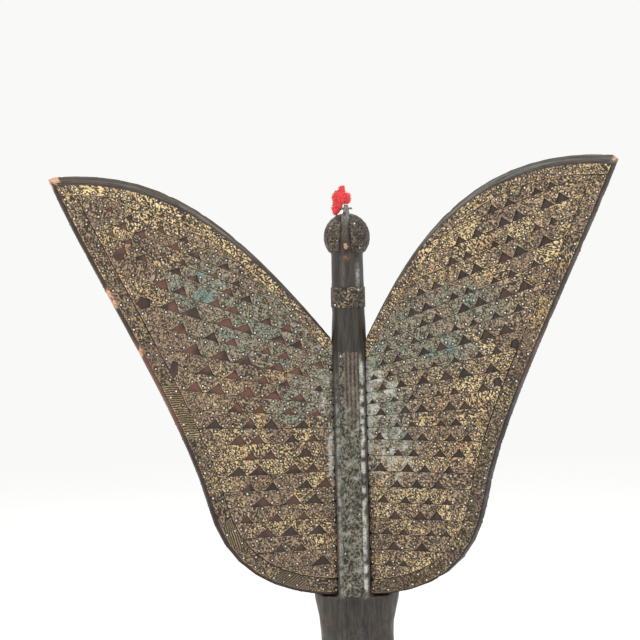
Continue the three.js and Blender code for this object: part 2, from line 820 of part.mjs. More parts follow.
function cladWing(wing) {
  const edges = edgesOf(wing);
  const frame = wingFrame(wing);
  frame.add(piece(`wing_board_${wing.name}`, wingBoard(wing, edges), "wood"));
  frame.add(piece(`leading_border_${wing.name}`, leadingBorder(wing, edges), "brass"));
  frame.add(piece(`outer_border_${wing.name}`, outerBorder(wing, edges), "brass"));
  const lines = rowLines(wing, edges);
  for (let row = 0; row + 1 < lines.length; row++) {
    const label = String(row + 1).padStart(2, "0");
    const solid = featherRow(wing, edges, row, lines[row], lines[row + 1]);
    frame.add(piece(`feather_row_${wing.name}_${label}`, solid, "brass"));
  }
  return frame;
}

const figure = new THREE.Group();
figure.name = "bird_figure";
figure.add(piece("carved_bird", carvedBird(), "wood"));
figure.add(cladWing(leftWing), cladWing(rightWing));
figure.add(piece("back_sheet", backSheet(), "brass"));
figure.add(piece("neck_band", neckBand(), "brass"));
figure.add(piece("cheek_plate_left", cheekPlate(1), "brass"));
figure.add(piece("cheek_plate_right", cheekPlate(-1), "brass"));
figure.add(piece("cotton_tuft", cottonTuft(), "cotton"));

export default figure;
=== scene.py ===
"""Looks of a carved bird figure whose raised wings are clad in embossed sheet metal.

Lengths are in metres and +Z is up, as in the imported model. The bird faces -Y and the camera
stands behind it. On a wing, "out" is the distance from its root and "up" the height over the
shoulder, and a wing's own frame has +Y leaving the clad face.
"""

import itertools
import logging
import math
from dataclasses import dataclass, field
from enum import Enum
from typing import Callable, Iterable

import bmesh
import bpy
import numpy as np
from mathutils import Matrix, Vector
from mathutils.kdtree import KDTree


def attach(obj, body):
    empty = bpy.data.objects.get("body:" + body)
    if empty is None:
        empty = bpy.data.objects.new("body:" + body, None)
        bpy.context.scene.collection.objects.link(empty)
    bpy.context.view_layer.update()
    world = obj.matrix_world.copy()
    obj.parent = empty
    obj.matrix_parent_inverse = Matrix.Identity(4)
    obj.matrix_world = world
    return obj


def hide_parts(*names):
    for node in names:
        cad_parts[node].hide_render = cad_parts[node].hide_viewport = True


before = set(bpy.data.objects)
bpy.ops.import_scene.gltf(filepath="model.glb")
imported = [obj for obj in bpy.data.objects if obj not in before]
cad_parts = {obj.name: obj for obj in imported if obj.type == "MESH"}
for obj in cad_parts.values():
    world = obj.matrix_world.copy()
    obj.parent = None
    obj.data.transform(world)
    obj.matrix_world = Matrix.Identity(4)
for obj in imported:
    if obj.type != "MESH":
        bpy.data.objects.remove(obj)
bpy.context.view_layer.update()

LOG = logging.getLogger("bird_figure")
MM = 0.001
BODY = "root"
WELD = 0.02 * MM
SHOULDER = 742 * MM
BACKDROP = "f9f9f8"


# Measures and noise

def smoothstep(low: float, high: float, value: np.ndarray) -> np.ndarray:
    """Rise smoothly from 0 at low to 1 at high.

    Args:
        low: The value that gives 0.
        high: The value that gives 1. It may be the lower of the two.
        value: The values to place between them.

    Returns:
        The shares, from 0 to 1.
    """
    share = np.clip((value - low) / (high - low), 0.0, 1.0)
    return share * share * (3 - 2 * share)


def spread(row: int, place: int) -> float:
    """A hand's irregularity from 0 to 1, always the same for the same row and place."""
    return math.sin(row * 12.9898 + place * 78.233) * 43758.5453 % 1.0


class Unevenness:
    """Smooth noise through space, from about -1 to 1 and the same each run."""

    LATTICE = 4096
    PRIMES = (73856093, 19349663, 83492791)

    def __init__(self, seed: int) -> None:
        """Draw the slopes of the noise's lattice."""
        slopes = np.random.default_rng(seed).normal(size=(self.LATTICE, 3))
        self.slopes = slopes / np.linalg.norm(slopes, axis=1, keepdims=True)

    def at(self, spots: np.ndarray, size: float | tuple[float, float, float]) -> np.ndarray:
        """Read the noise.

        Args:
            spots: Places, one row each.
            size: How large its lumps are, the same all ways or one size for each axis.

        Returns:
            One value for each place.
        """
        scaled = spots / np.asarray(size)
        low = np.floor(scaled).astype(np.int64)
        part = scaled - low
        ease = part**3 * (part * (part * 6 - 15) + 10)
        total = np.zeros(len(spots))
        for corner in itertools.product((0, 1), repeat=3):
            key = np.bitwise_xor.reduce((low + corner) * self.PRIMES, axis=1) % self.LATTICE
            share = np.prod(np.where(corner, ease, 1 - ease), axis=1)
            total += share * np.einsum("ij,ij->i", self.slopes[key], part - corner)
        return total * 1.6


NOISE = Unevenness(11)


def in_layer(flat: np.ndarray, depth: float | np.ndarray) -> np.ndarray:
    """Places in a plane as places in space, at a depth that picks its own part of the noise."""
    return np.stack([flat[:, 0], np.broadcast_to(depth, len(flat)), flat[:, 1]], axis=1)


@dataclass(frozen=True)
class Swell:
    """A rise, or below 0 a dip, that fades with the distance from where it starts."""

    height: float
    reach: float

    def at(self, distance: np.ndarray) -> np.ndarray:
        """How high it stands at each distance."""
        return self.height * np.exp(-distance / self.reach)


class Path:
    """A line through points across and up in a face's own plane.

    Rounding leaves a corner that turns by less than SHARP, in radians, and takes at most
    SIDE_SHARE of the sides beside the others.
    """

    SHARP = 0.35
    SIDE_SHARE = 0.42

    def __init__(self, points: np.ndarray, closed: bool) -> None:
        """Keep the points and measure the way along them."""
        self.points = np.asarray(points, float)
        self.closed = closed
        ends = np.roll(self.points, -1, axis=0) if closed else self.points[1:]
        self.starts = self.points if closed else self.points[:-1]
        self.steps = ends - self.starts
        self.lengths = np.linalg.norm(self.steps, axis=1)
        self.way = np.concatenate([[0.0], np.cumsum(self.lengths)])

    @classmethod
    def round_node(cls, node: str, to_face: Matrix, depth: float) -> "Path":
        """Read a CAD node's outline where a plane parallel to its face cuts it.

        Args:
            node: The node's name.
            to_face: The turn from the bird's frame to the face's own.
            depth: The plane's place along the face's Y.

        Returns:
            The longest closed outline there, counterclockwise from its leftmost point.
        """
        shape = node_shape(node, to_face)
        cut = cut_by_plane(shape, Vector((0, depth, 0)), Vector((0, 1, 0)), dist=1e-7)
        left = dict.fromkeys(item for item in cut if isinstance(item, bmesh.types.BMEdge))
        loops = []
        while left:
            edge, _ = left.popitem()
            start, spot = edge.verts
            loop = [start, spot]
            while spot is not start:
                onward = [other for other in spot.link_edges if other in left]
                if not onward:
                    break
                del left[onward[0]]
                spot = onward[0].other_vert(spot)
                loop.append(spot)
            loops.append(np.array([(vert.co.x, vert.co.z) for vert in loop[:-1]]))
        shape.free()
        points = max(loops, key=len)
        after = np.roll(points, -1, axis=0)
        if np.sum(points[:, 0] * after[:, 1] - points[:, 1] * after[:, 0]) < 0:
            points = points[::-1]
        leftmost = int(np.lexsort((points[:, 1], points[:, 0]))[0])
        return cls(np.roll(points, -leftmost, axis=0), True)

    def inside(self, spots: np.ndarray) -> np.ndarray:
        """Say which places lie inside the closed path."""
        across, up = spots[:, :1], spots[:, 1:]
        start, step = self.starts, self.steps
        end_up = start[:, 1] + step[:, 1]
        spans = (start[:, 1] > up) != (end_up > up)
        rise = np.where(np.abs(step[:, 1]) < 1e-12, 1e-12, step[:, 1])
        crossing = start[:, 0] + (up - start[:, 1]) / rise * step[:, 0]
        return (np.sum(spans & (across < crossing), axis=1) % 2).astype(bool)

    def nearest(self, spots: np.ndarray) -> tuple[np.ndarray, np.ndarray, np.ndarray]:
        """Find the nearest point of the path to each place.

        Args:
            spots: Places across and up.

        Returns:
            The distances, the nearest points, and how far along the path those are.
        """
        gap = spots[:, None, :] - self.starts[None]
        square = np.maximum(self.lengths**2, 1e-18)
        share = np.clip(np.einsum("ijk,jk->ij", gap, self.steps) / square, 0, 1)
        miss = gap - share[..., None] * self.steps[None]
        apart = np.einsum("ijk,ijk->ij", miss, miss)
        which = np.argmin(apart, axis=1)
        rows = np.arange(len(spots))
        best = share[rows, which]
        points = self.starts[which] + best[:, None] * self.steps[which]
        along = self.way[which] + best * self.lengths[which]
        return np.sqrt(apart[rows, which]), points, along

    def point_at(self, along: float) -> tuple[np.ndarray, np.ndarray]:
        """Give the point at a distance along the path, and the direction there."""
        found = np.searchsorted(self.way, along, side="right") - 1
        which = int(np.clip(found, 0, len(self.steps) - 1))
        direction = self.steps[which] / max(self.lengths[which], 1e-9)
        return self.starts[which] + direction * (along - self.way[which]), direction

    def turns(self) -> np.ndarray:
        """The turn at each corner of a counterclockwise path: positive where it bulges outwards."""
        before = np.roll(self.steps, 1, axis=0)
        cross = before[:, 0] * self.steps[:, 1] - before[:, 1] * self.steps[:, 0]
        return np.arctan2(cross, np.sum(before * self.steps, axis=1))

    def rounded(self, radius: float) -> "Path":
        """Round the outward corners of the closed path, and leave the inward ones sharp."""
        corners = []
        turns = self.turns()
        for index, corner in enumerate(self.points):
            before = self.points[index - 1]
            after = self.points[(index + 1) % len(self.points)]
            if turns[index] < self.SHARP:
                corners.append(corner)
                continue
            sides = [before - corner, after - corner]
            reach = min(radius, *(np.linalg.norm(side) * self.SIDE_SHARE for side in sides))
            first, last = (corner + side / np.linalg.norm(side) * reach for side in sides)
            for t in (0, 0.33, 0.67, 1):
                corners.append(first * (1 - t) ** 2 + corner * 2 * t * (1 - t) + last * t**2)
        return Path(np.array(corners), True)


@dataclass
class Region:
    """The part of a face that a sheet covers: inside its outline and outside its tears."""

    outline: Path
    tears: list[Path] = field(default_factory=list)

    def inside(self, spots: np.ndarray) -> np.ndarray:
        """Say which places the sheet covers."""
        covered = self.outline.inside(spots)
        for tear in self.tears:
            covered &= ~tear.inside(spots)
        return covered

    def nearest(self, spots: np.ndarray) -> tuple[np.ndarray, np.ndarray]:
        """Give the distance to the sheet's edge and the nearest point on it."""
        distance, points, _ = self.outline.nearest(spots)
        for tear in self.tears:
            other, other_points, _ = tear.nearest(spots)
            nearer = other < distance
            distance = np.where(nearer, other, distance)
            points = np.where(nearer[:, None], other_points, points)
        return distance, points


# Meshes

def rows_of(parts: bpy.types.bpy_prop_collection, name: str) -> np.ndarray:
    """Read a vector of each part of a mesh as rows of three."""
    found = np.empty(len(parts) * 3)
    parts.foreach_get(name, found)
    return found.reshape(-1, 3)


def spots_of(mesh: bpy.types.Mesh) -> np.ndarray:
    """Read a mesh's corners."""
    return rows_of(mesh.vertices, "co")


def normals_of(mesh: bpy.types.Mesh) -> np.ndarray:
    """Read the normals at a mesh's corners."""
    return rows_of(mesh.vertex_normals, "vector")


def move_spots(mesh: bpy.types.Mesh, spots: np.ndarray) -> None:
    """Put a mesh's corners at new places."""
    mesh.vertices.foreach_set("co", spots.astype(np.float32).ravel())
    mesh.update()


def paint(mesh: bpy.types.Mesh, name: str, channels: Iterable[np.ndarray | float]) -> None:
    """Store up to four values at each corner of a mesh as a colour attribute."""
    count = len(mesh.vertices)
    columns = [np.broadcast_to(channel, count) for channel in channels]
    columns += [np.ones(count)] * (4 - len(columns))
    layer = mesh.attributes.new(name, "FLOAT_COLOR", "POINT")
    layer.data.foreach_set("color", np.stack(columns, axis=1).astype(np.float32).ravel())


def shown(mesh: bpy.types.Mesh, material: bpy.types.Material, crease: float = 50) -> bpy.types.Object:
    """Put a mesh in the scene as an object of its own name, smooth but for its sharp edges."""
    mesh.materials.clear()
    mesh.materials.append(material)
    mesh.polygons.foreach_set("use_smooth", [True] * len(mesh.polygons))
    mesh.set_sharp_from_angle(angle=math.radians(crease))
    piece = bpy.data.objects.new(mesh.name, mesh)
    bpy.context.scene.collection.objects.link(piece)
    return piece


def mesh_from(shape: bmesh.types.BMesh, name: str) -> bpy.types.Mesh:
    """Turn a bmesh into a mesh and free it."""
    mesh = bpy.data.meshes.new(name)
    shape.to_mesh(mesh)
    shape.free()
    return mesh


def kept(piece: bpy.types.Object, slot: str, *nodes: str) -> bpy.types.Object:
    """Tie a finished piece to the body and hide the CAD nodes that it stands for."""
    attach(piece, BODY)
    if nodes:
        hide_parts(*nodes)
    LOG.info("%s: %d faces", piece.name, len(piece.data.polygons))
    return piece


def cell_of(size: float) -> float:
    return size * 1


def node_shape(node: str, turn: Matrix) -> bmesh.types.BMesh:
    """Copy a CAD node, turned from the bird's frame to another and with its faces joined."""
    shape = bmesh.new()
    shape.from_mesh(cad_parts[node].data)
    bmesh.ops.transform(shape, matrix=turn, verts=shape.verts)
    bmesh.ops.remove_doubles(shape, verts=shape.verts, dist=WELD)
    return shape


def cut_by_plane(shape: bmesh.types.BMesh, place: Vector, normal: Vector, **near: float) -> list:
    """Cut a shape's faces by a plane, and give the corners and edges that lie in it."""
    everything = [*shape.verts, *shape.edges, *shape.faces]
    cut = bmesh.ops.bisect_plane(shape, geom=everything, plane_co=place, plane_no=normal, **near)
    return cut["geom_cut"]


def sliced(node: str, turn: Matrix, steps: dict[int, float]) -> bmesh.types.BMesh:
    """Copy a CAD node and cut its faces by planes at even steps, which keeps every corner.

    Args:
        node: The CAD node's name.
        turn: The turn from the bird's frame to the one that the planes follow.
        steps: The step along each axis that is cut, by the axis's number.

    Returns:
        The cut copy, in that frame.
    """
    shape = node_shape(node, turn)
    bmesh.ops.dissolve_limit(shape, angle_limit=0.01, verts=shape.verts, edges=shape.edges)
    corners = np.array([vert.co for vert in shape.verts])
    low, high = corners.min(0), corners.max(0)
    for axis, step in steps.items():
        normal = Vector(np.eye(3)[axis])
        for level in np.arange(low[axis] + step, high[axis] - step / 2, step):
            cut_by_plane(shape, normal * level, normal)
    bmesh.ops.recalc_face_normals(shape, faces=shape.faces)
    return shape


def remeshed(node: str, name: str, cell: float, passes: int) -> bpy.types.Mesh:
    """Copy a CAD node and mesh it anew in even cells, a little smoothed.

    Args:
        node: The CAD node's name.
        name: The new mesh's name.
        cell: The size of a cell.
        passes: How many times it is smoothed.

    Returns:
        The new mesh, in the bird's frame.
    """
    shape = node_shape(node, Matrix())
    rough = bpy.data.objects.new(name + "_rough", mesh_from(shape, name + "_rough"))
    bpy.context.scene.collection.objects.link(rough)
    cells = rough.modifiers.new("cells", "REMESH")
    cells.mode = "VOXEL"
    cells.voxel_size = cell
    soften = rough.modifiers.new("soften", "SMOOTH")
    soften.factor = 0.5
    soften.iterations = passes
    ready = rough.evaluated_get(bpy.context.evaluated_depsgraph_get())
    mesh = bpy.data.meshes.new_from_object(ready)
    mesh.name = name
    bpy.data.objects.remove(rough)
    return mesh


def hollows_of(mesh: bpy.types.Mesh, spots: np.ndarray) -> np.ndarray:
    """Measure how hollow a mesh is at each corner.

    Args:
        mesh: The mesh, with even faces.
        spots: Its corners.

    Returns:
        Above 0 in hollows and below 0 on edges, as a share of the mesh's own step.
    """
    ends = np.empty(len(mesh.edges) * 2, np.int64)
    mesh.edges.foreach_get("vertices", ends)
    first, last = ends.reshape(-1, 2).T
    total = np.zeros_like(spots)
    np.add.at(total, first, spots[last])
    np.add.at(total, last, spots[first])
    count = np.bincount(ends, minlength=len(spots))[:, None]
    step = np.linalg.norm(spots[first] - spots[last], axis=1).mean()
    return np.einsum("ij,ij->i", total / count - spots, normals_of(mesh)) / step


@dataclass(frozen=True)
class Spot:
    """A soft oval patch, in metres: out from a wing's root and up, or along X and Z."""

    out: float
    up: float
    half_out: float
    half_up: float
    strength: float = 1.0

    def share(self, out: np.ndarray, up: np.ndarray) -> np.ndarray:
        """How much each place belongs to the patch: most in its middle, and little outside it."""
        off = -(((out - self.out) / self.half_out) ** 2) - ((up - self.up) / self.half_up) ** 2
        return self.strength * np.exp(off)


def patches(*rows: tuple[float, ...]) -> tuple[Spot, ...]:
    """Make spots from rows of four measures in millimetres and, where it isn't 1, a strength."""
    return tuple(Spot(*(measure * MM for measure in row[:4]), *row[4:]) for row in rows)


def total_share(spots: Iterable[Spot], out: np.ndarray, up: np.ndarray) -> np.ndarray:
    """How much each place belongs to the strongest spot there."""
    return np.maximum.reduce([spot.share(out, up) for spot in spots])


def summed_share(spots: Iterable[Spot], out: np.ndarray, up: np.ndarray) -> np.ndarray:
    """How much each place belongs to all of the spots together."""
    return np.sum([spot.share(out, up) for spot in spots], axis=0)


def tool_marks(spots: np.ndarray, size: float, stretch: float, seed: int) -> np.ndarray:
    """Shallow scoops that an adze left, longer along Z.

    Args:
        spots: Places on the surface.
        size: How wide a scoop is.
        stretch: How much longer than wide it is.
        seed: Which draw of scoops.

    Returns:
        For each place, 0 in the middle of a scoop and towards 1 at its ridge.
    """
    squeeze = np.array([1, 1, 1 / stretch])
    draw = np.random.default_rng(seed)
    squeezed = spots * squeeze
    keys = np.floor(squeezed / size).astype(np.int64)
    _, chosen = np.unique(keys, axis=0, return_index=True)
    seeds = squeezed[chosen] + draw.uniform(-0.35, 0.35, (len(chosen), 3)) * size
    tree = KDTree(len(seeds))
    for index, spot in enumerate(seeds):
        tree.insert(spot, index)
    tree.balance()
    reach = np.array([tree.find(spot)[2] for spot in squeezed])
    return np.clip(reach / size, 0, 1) ** 2


# Shader nodes

def tone(code: str) -> tuple[float, float, float, float]:
    """A colour for a shader from its six-digit screen code."""
    parts = [int(code[at:at + 2], 16) / 255 for at in (0, 2, 4)]
    return (*(part / 12.92 if part <= 0.04045 else ((part + 0.055) / 1.055) ** 2.4 for part in parts), 1.0)


Socket = bpy.types.NodeSocket
Value = float | tuple | str | Socket


class NodeBench:
    """Lays out the nodes of one material or node group."""

    def __init__(self, tree: bpy.types.NodeTree) -> None:
        """Work on a node tree."""
        self.tree = tree

    def add(self, kind: str, values: dict[str | int, Value], **settings: object) -> bpy.types.Node:
        """Add a node, set it and feed its inputs.

        Args:
            kind: The node's type.
            values: What each input holds, as feed takes it.
            settings: The node's own settings.

        Returns:
            The node.
        """
        node = self.tree.nodes.new(kind)
        for name, value in settings.items():
            setattr(node, name, value)
        self.feed(node, values)
        return node

    def feed(self, node: bpy.types.Node, values: dict[str | int, Value]) -> None:
        """Set a node's inputs, each to a plain value, a colour's code or the output that feeds it."""
        for name, value in values.items():
            if isinstance(value, Socket):
                self.tree.links.new(value, node.inputs[name])
            else:
                node.inputs[name].default_value = tone(value) if isinstance(value, str) else value

    def place(self) -> Socket:
        """The place on the object."""
        return self.add("ShaderNodeTexCoord", {}).outputs["Object"]

    def noise(self, place: Value, size: float, detail: float = 3, stretch: tuple = (1, 1, 1)) -> Socket:
        """Noise with lumps of a size in metres, drawn out by a stretch along each axis."""
        scale = tuple(1 / (size * part) for part in stretch)
        mapped = self.add("ShaderNodeMapping", {"Vector": place, "Scale": scale})
        values = {"Vector": mapped.outputs[0], "Scale": 1.0, "Detail": detail, "Roughness": 0.6}
        return self.add("ShaderNodeTexNoise", values).outputs[0]

    def between(self, value: Value, low: Value, high: Value, to: tuple = (0, 1)) -> Socket:
        """Rise smoothly from the first of to at low to the second at high."""
        values = {"Value": value, "From Min": low, "From Max": high, "To Min": to[0], "To Max": to[1]}
        return self.add("ShaderNodeMapRange", values, interpolation_type="SMOOTHSTEP").outputs[0]

    def mix(self, share: Value, first: Value, second: Value) -> Socket:
        """Blend two colours."""
        node = self.add("ShaderNodeMix", {0: share, 6: first, 7: second}, data_type="RGBA")
        return node.outputs[2]

    def plus(self, first: Value, second: Value) -> Socket:
        """The sum of two values."""
        return self.add("ShaderNodeMath", {0: first, 1: second}, operation="ADD").outputs[0]

    def minus(self, first: Value, second: Value) -> Socket:
        """The first value less the second."""
        return self.add("ShaderNodeMath", {0: first, 1: second}, operation="SUBTRACT").outputs[0]

    def times(self, first: Value, second: Value) -> Socket:
        """The product of two values."""
        return self.add("ShaderNodeMath", {0: first, 1: second}, operation="MULTIPLY").outputs[0]

    def painted(self, name: str) -> list[Socket]:
        """The four channels of a piece's own colour attribute."""
        source = self.add("ShaderNodeAttribute", {}, attribute_name=name, attribute_type="GEOMETRY")
        parts = self.add("ShaderNodeSeparateColor", {0: source.outputs["Color"]}).outputs
        return [parts[0], parts[1], parts[2], source.outputs["Alpha"]]

    def bump(self, height: Value, depth: float, strength: float = 1.0) -> Socket:
        """A normal raised by a height."""
        values = {"Height": height, "Distance": depth, "Strength": strength}
        return self.add("ShaderNodeBump", values).outputs[0]

    def shared(self, tree: bpy.types.NodeTree, place: Value) -> bpy.types.bpy_prop_collection:
        """The outputs of a shared node group at a place."""
        return self.add("ShaderNodeGroup", {"Place": place}, node_tree=tree).outputs


def new_material(name: str) -> tuple[bpy.types.Material, NodeBench, bpy.types.Node]:
    """Make an empty material.

    Args:
        name: Its name.

    Returns:
        The material, the bench of its nodes and its Principled shader.
    """
    material = bpy.data.materials.new(name)
    material.use_nodes = True
    bench = NodeBench(material.node_tree)
    return material, bench, material.node_tree.nodes["Principled BSDF"]


class SharedEffects:
    """Node groups that several finishes place with their own values."""

    def __init__(self) -> None:
        """Build each group once."""
        self.grain = self._grain()
        self.specks = self._specks()

    @staticmethod
    def _new(name: str, *outputs: str) -> tuple[NodeBench, Socket, bpy.types.Node]:
        """Make an empty group that reads a place and gives values.

        Args:
            name: The group's name.
            outputs: The values' names.

        Returns:
            The bench of its nodes, the place and the node that takes the values.
        """
        tree = bpy.data.node_groups.new(name, "ShaderNodeTree")
        tree.interface.new_socket("Place", in_out="INPUT", socket_type="NodeSocketVector")
        for output in outputs:
            tree.interface.new_socket(output, in_out="OUTPUT", socket_type="NodeSocketFloat")
        bench = NodeBench(tree)
        return bench, bench.add("NodeGroupInput", {}).outputs[0], bench.add("NodeGroupOutput", {})

    def _grain(self) -> bpy.types.NodeTree:
        """Wood fibres along the third axis of a place: light and dark streaks, and their height."""
        bench, place, out = self._new("grain", "Streaks", "Fibres")
        streaks = bench.noise(place, 5 * MM, 4, (1, 1, 16))
        fibres = bench.noise(place, 1.1 * MM, 3, (1, 1, 22))
        bench.feed(out, {0: bench.between(streaks, 0.32, 0.68), 1: fibres})
        return bench.tree

    def _specks(self) -> bpy.types.NodeTree:
        """Dust and wear in fine and broad patches."""
        bench, place, out = self._new("specks", "Fine", "Broad")
        bench.feed(out, {0: bench.noise(place, 2.2 * MM, 4), 1: bench.noise(place, 34 * MM, 3)})
        return bench.tree


# Finishes

@dataclass(frozen=True)
class DarkWood:
    """Old carved wood, almost black from handling, with dust in its hollows and a pale crust colour that
    also paints a highlight.
    """

    ground: str = "131110"
    brown: str = "3c342c"
    worn: str = "5f5448"
    dust: str = "7b7970"
    red: str = "6b4433"
    chip: str = "bd8a64"
    crust: str = "c9cbc0"
    depth: float = 0.35 * MM

    def make(self, shared: SharedEffects) -> bpy.types.Material:
        """Build the material for a piece painted with "carving": hollow, ridge, grey and red; grey holds
        crust, the crest tab's tone and a painted highlight.
        """
        material, bench, shader = new_material("dark_wood")
        place = bench.place()
        hollow, ridge, grey, red = bench.painted("carving")
        grain = bench.shared(shared.grain, place)
        specks = bench.shared(shared.specks, place)
        streaked = bench.plus(grain[0], bench.between(grain[1], 0.3, 0.7, (-0.5, 0.5)))
        base = bench.mix(bench.between(streaked, -0.3, 1.2), self.ground, self.brown)
        rubbed = bench.times(ridge, bench.between(specks[0], 0.35, 0.7))
        base = bench.mix(rubbed, base, self.worn)
        reddened = bench.times(red, bench.between(specks[0], 0.3, 0.6))
        base = bench.mix(reddened, base, self.red)
        base = bench.mix(bench.between(red, 0.7, 0.85), base, self.chip)
        dusty = bench.times(hollow, bench.between(specks[0], 0.4, 0.75))
        base = bench.mix(dusty, base, self.dust)
        # The grey channel lays the crust colour on crust, on the crest tab and as a painted highlight on
        # the neck; its share in thick keeps that highlight smooth.
        thick = bench.plus(specks[0], bench.times(grey, 0.08))
        crust = bench.times(grey, bench.between(thick, 0.35, 0.6))
        base = bench.mix(crust, base, self.crust)
        rough = bench.between(bench.plus(specks[1], crust), 0.3, 1.0, (0.38, 0.8))
        normal = bench.bump(bench.plus(grain[1], bench.times(specks[0], 0.6)), self.depth, 0.7)
        bench.feed(shader, {"Base Color": base, "Roughness": rough, "Normal": normal})
        return material


@dataclass(frozen=True)
class WingWood:
    """The wood of a wing board: grey where its rim is bare, red or black under the metal, darker near the
    root, with painted shade on the rim next to the metal.
    """

    ground: str
    under: str
    brown: str = "3f2f25"
    rim: str = "615850"
    rim_dark: str = "2f2620"
    rim_pale: str = "80796f"
    rim_red: str = "5a4033"
    grime: str = "17120f"
    grime_pale: str = "2c231d"
    bare: str = "ecc9a6"
    bare_deep: str = "ab6a42"
    fibre: float = 1.3 * MM
    streak: float = 3.5 * MM
    depth: float = 0.45 * MM

    def make(self, name: str, shared: SharedEffects) -> bpy.types.Material:
        """Build the material for a board painted with "board" and "lay"."""
        material, bench, shader = new_material(name)
        place = bench.place()
        rim, bare, under, dark = bench.painted("board")
        lay = bench.add("ShaderNodeAttribute", {}, attribute_name="lay").outputs["Vector"]
        grain = bench.shared(shared.grain, place)
        specks = bench.shared(shared.specks, place)
        streaks = bench.noise(lay, self.fibre, 4, (60, 1, 1))
        long_streaks = bench.noise(lay, self.streak, 3, (40, 1, 1))
        base = bench.mix(grain[0], self.ground, self.brown)
        base = bench.mix(under, base, bench.mix(specks[0], self.under, self.ground))
        greyed = bench.mix(bench.between(streaks, 0.38, 0.62), self.rim_dark, self.rim)
        greyed = bench.mix(bench.between(long_streaks, 0.54, 0.66), greyed, self.rim_pale)
        greyed = bench.mix(bench.between(long_streaks, 0.44, 0.34), greyed, self.rim_red)
        base = bench.mix(rim, base, greyed)
        # The dark channel darkens the wood near the root and lays painted shade on the rim next to the
        # metal.
        base = bench.mix(dark, base, bench.mix(specks[0], self.grime, self.grime_pale))
        scraped = bench.between(bench.plus(bare, bench.times(streaks, 0.5)), 0.55, 0.95)
        fresh = bench.mix(bench.between(streaks, 0.42, 0.6), self.bare_deep, self.bare)
        base = bench.mix(scraped, base, fresh)
        rough = bench.between(specks[1], 0.3, 0.7, (0.45, 0.75))
        normal = bench.bump(bench.plus(bench.times(streaks, rim), grain[1]), self.depth, 0.7)
        bench.feed(shader, {"Base Color": base, "Roughness": rough, "Normal": normal})
        return material


@dataclass(frozen=True)
class EmbossedBrass:
    """Embossed sheet metal, brown with age, gold where it is rubbed and green where it corroded."""

    ground: str = "1d1611"
    middle: str = "a78f73"
    gold: str = "e8d09a"
    gold_deep: str = "c39a60"
    green: str = "949b87"
    green_dark: str = "3d3f34"
    teal: str = "788d85"
    pink: str = "a5806e"
    pink_dark: str = "43322a"
    crust: str = "cbccbf"
    dirt: str = "17120e"
    grit: float = 1.1 * MM
    patch: float = 7 * MM
    depth: float = 0.3 * MM

    def make(self, name: str, shared: SharedEffects) -> bpy.types.Material:
        """Build the material for a sheet painted with "relief" and "stains"."""
        material, bench, shader = new_material(name)
        place = bench.place()
        raised, gold, green, dirt = bench.painted("relief")
        teal, pink, crust, draw = bench.painted("stains")
        specks = bench.shared(shared.specks, place)
        tiny = bench.noise(place, self.grit, 3)
        mottle = bench.noise(place, self.patch, 5)
        level = bench.plus(bench.times(raised, 0.8), bench.times(tiny, 0.45))
        base = bench.mix(bench.between(level, 0.08, 1.1), self.ground, self.middle)
        pinked = bench.times(pink, bench.between(mottle, 0.42, 0.62))
        pinks = bench.mix(bench.between(level, 0.1, 0.9), self.pink_dark, self.pink)
        base = bench.mix(pinked, base, pinks)
        greens = bench.mix(bench.between(level, 0.1, 0.9), self.green_dark, self.green)
        tinted = bench.mix(bench.between(level, 0.0, 0.8), self.green_dark, self.teal)
        greens = bench.mix(teal, greens, tinted)
        patched = bench.plus(mottle, bench.times(teal, 0.2))
        covered = bench.times(green, bench.between(patched, 0.42, 0.58, (0.05, 0.95)))
        covered = bench.times(covered, bench.between(level, 0.1, 0.45, (0.35, 1.0)))
        base = bench.mix(covered, base, greens)
        start = bench.between(gold, 0.0, 1.0, (1.12, 0.5))
        rubbed = bench.between(level, start, bench.plus(start, 0.36))
        bright = bench.mix(bench.between(specks[1], 0.35, 0.65), self.gold, self.gold_deep)
        base = bench.mix(rubbed, base, bench.mix(draw, bright, self.gold))
        # The dirt channel darkens the metal with dirt and, round the wing's nails, painted shade.
        base = bench.mix(dirt, base, self.dirt)
        limed = bench.times(crust, bench.between(specks[0], 0.35, 0.6, (0.5, 1.0)))
        limed = bench.times(limed, bench.between(level, 0.0, 0.5, (0.6, 1.0)))
        base = bench.mix(limed, base, self.crust)
        clean = bench.times(rubbed, bench.minus(1.0, limed))
        bench.feed(shader, {
            "Base Color": base,
            "Metallic": bench.between(clean, 0, 1, (0.1, 0.6)),
            "Roughness": bench.between(clean, 0, 1, (0.66, 0.42)),
            "Normal": bench.bump(bench.plus(bench.times(tiny, 0.7), specks[0]), self.depth, 0.6),
        })
        return material


@dataclass(frozen=True)
class NailMetal:
    """Nail heads in their metal's tone on top, darkened round the sides of the dome to the rim colour as
    painted shade.
    """

    bright: str = "dbd8cf"
    dull: str = "8b8172"
    rim: str = "2b241e"

    def make(self, shared: SharedEffects) -> bpy.types.Material:
        """Build the material for nails painted with their lit top and how bright each nail is; below the
        lit top the dome turns to the rim colour as painted shade.
        """
        material, bench, shader = new_material("nail_metal")
        specks = bench.shared(shared.specks, bench.place())
        top, bright = bench.painted("lit_top_and_tone")[:2]
        worn = bench.between(bench.plus(bright, bench.times(specks[0], 0.3)), 0.3, 0.75)
        # Painted shade: the dome's sides take the dark rim colour, and only the lit top keeps the metal's
        # tone.
        base = bench.mix(top, self.rim, bench.mix(worn, self.dull, self.bright))
        rough = bench.between(worn, 0, 1, (0.6, 0.3))
        bench.feed(shader, {"Base Color": base, "Roughness": rough, "Metallic": 0.4})
        return material


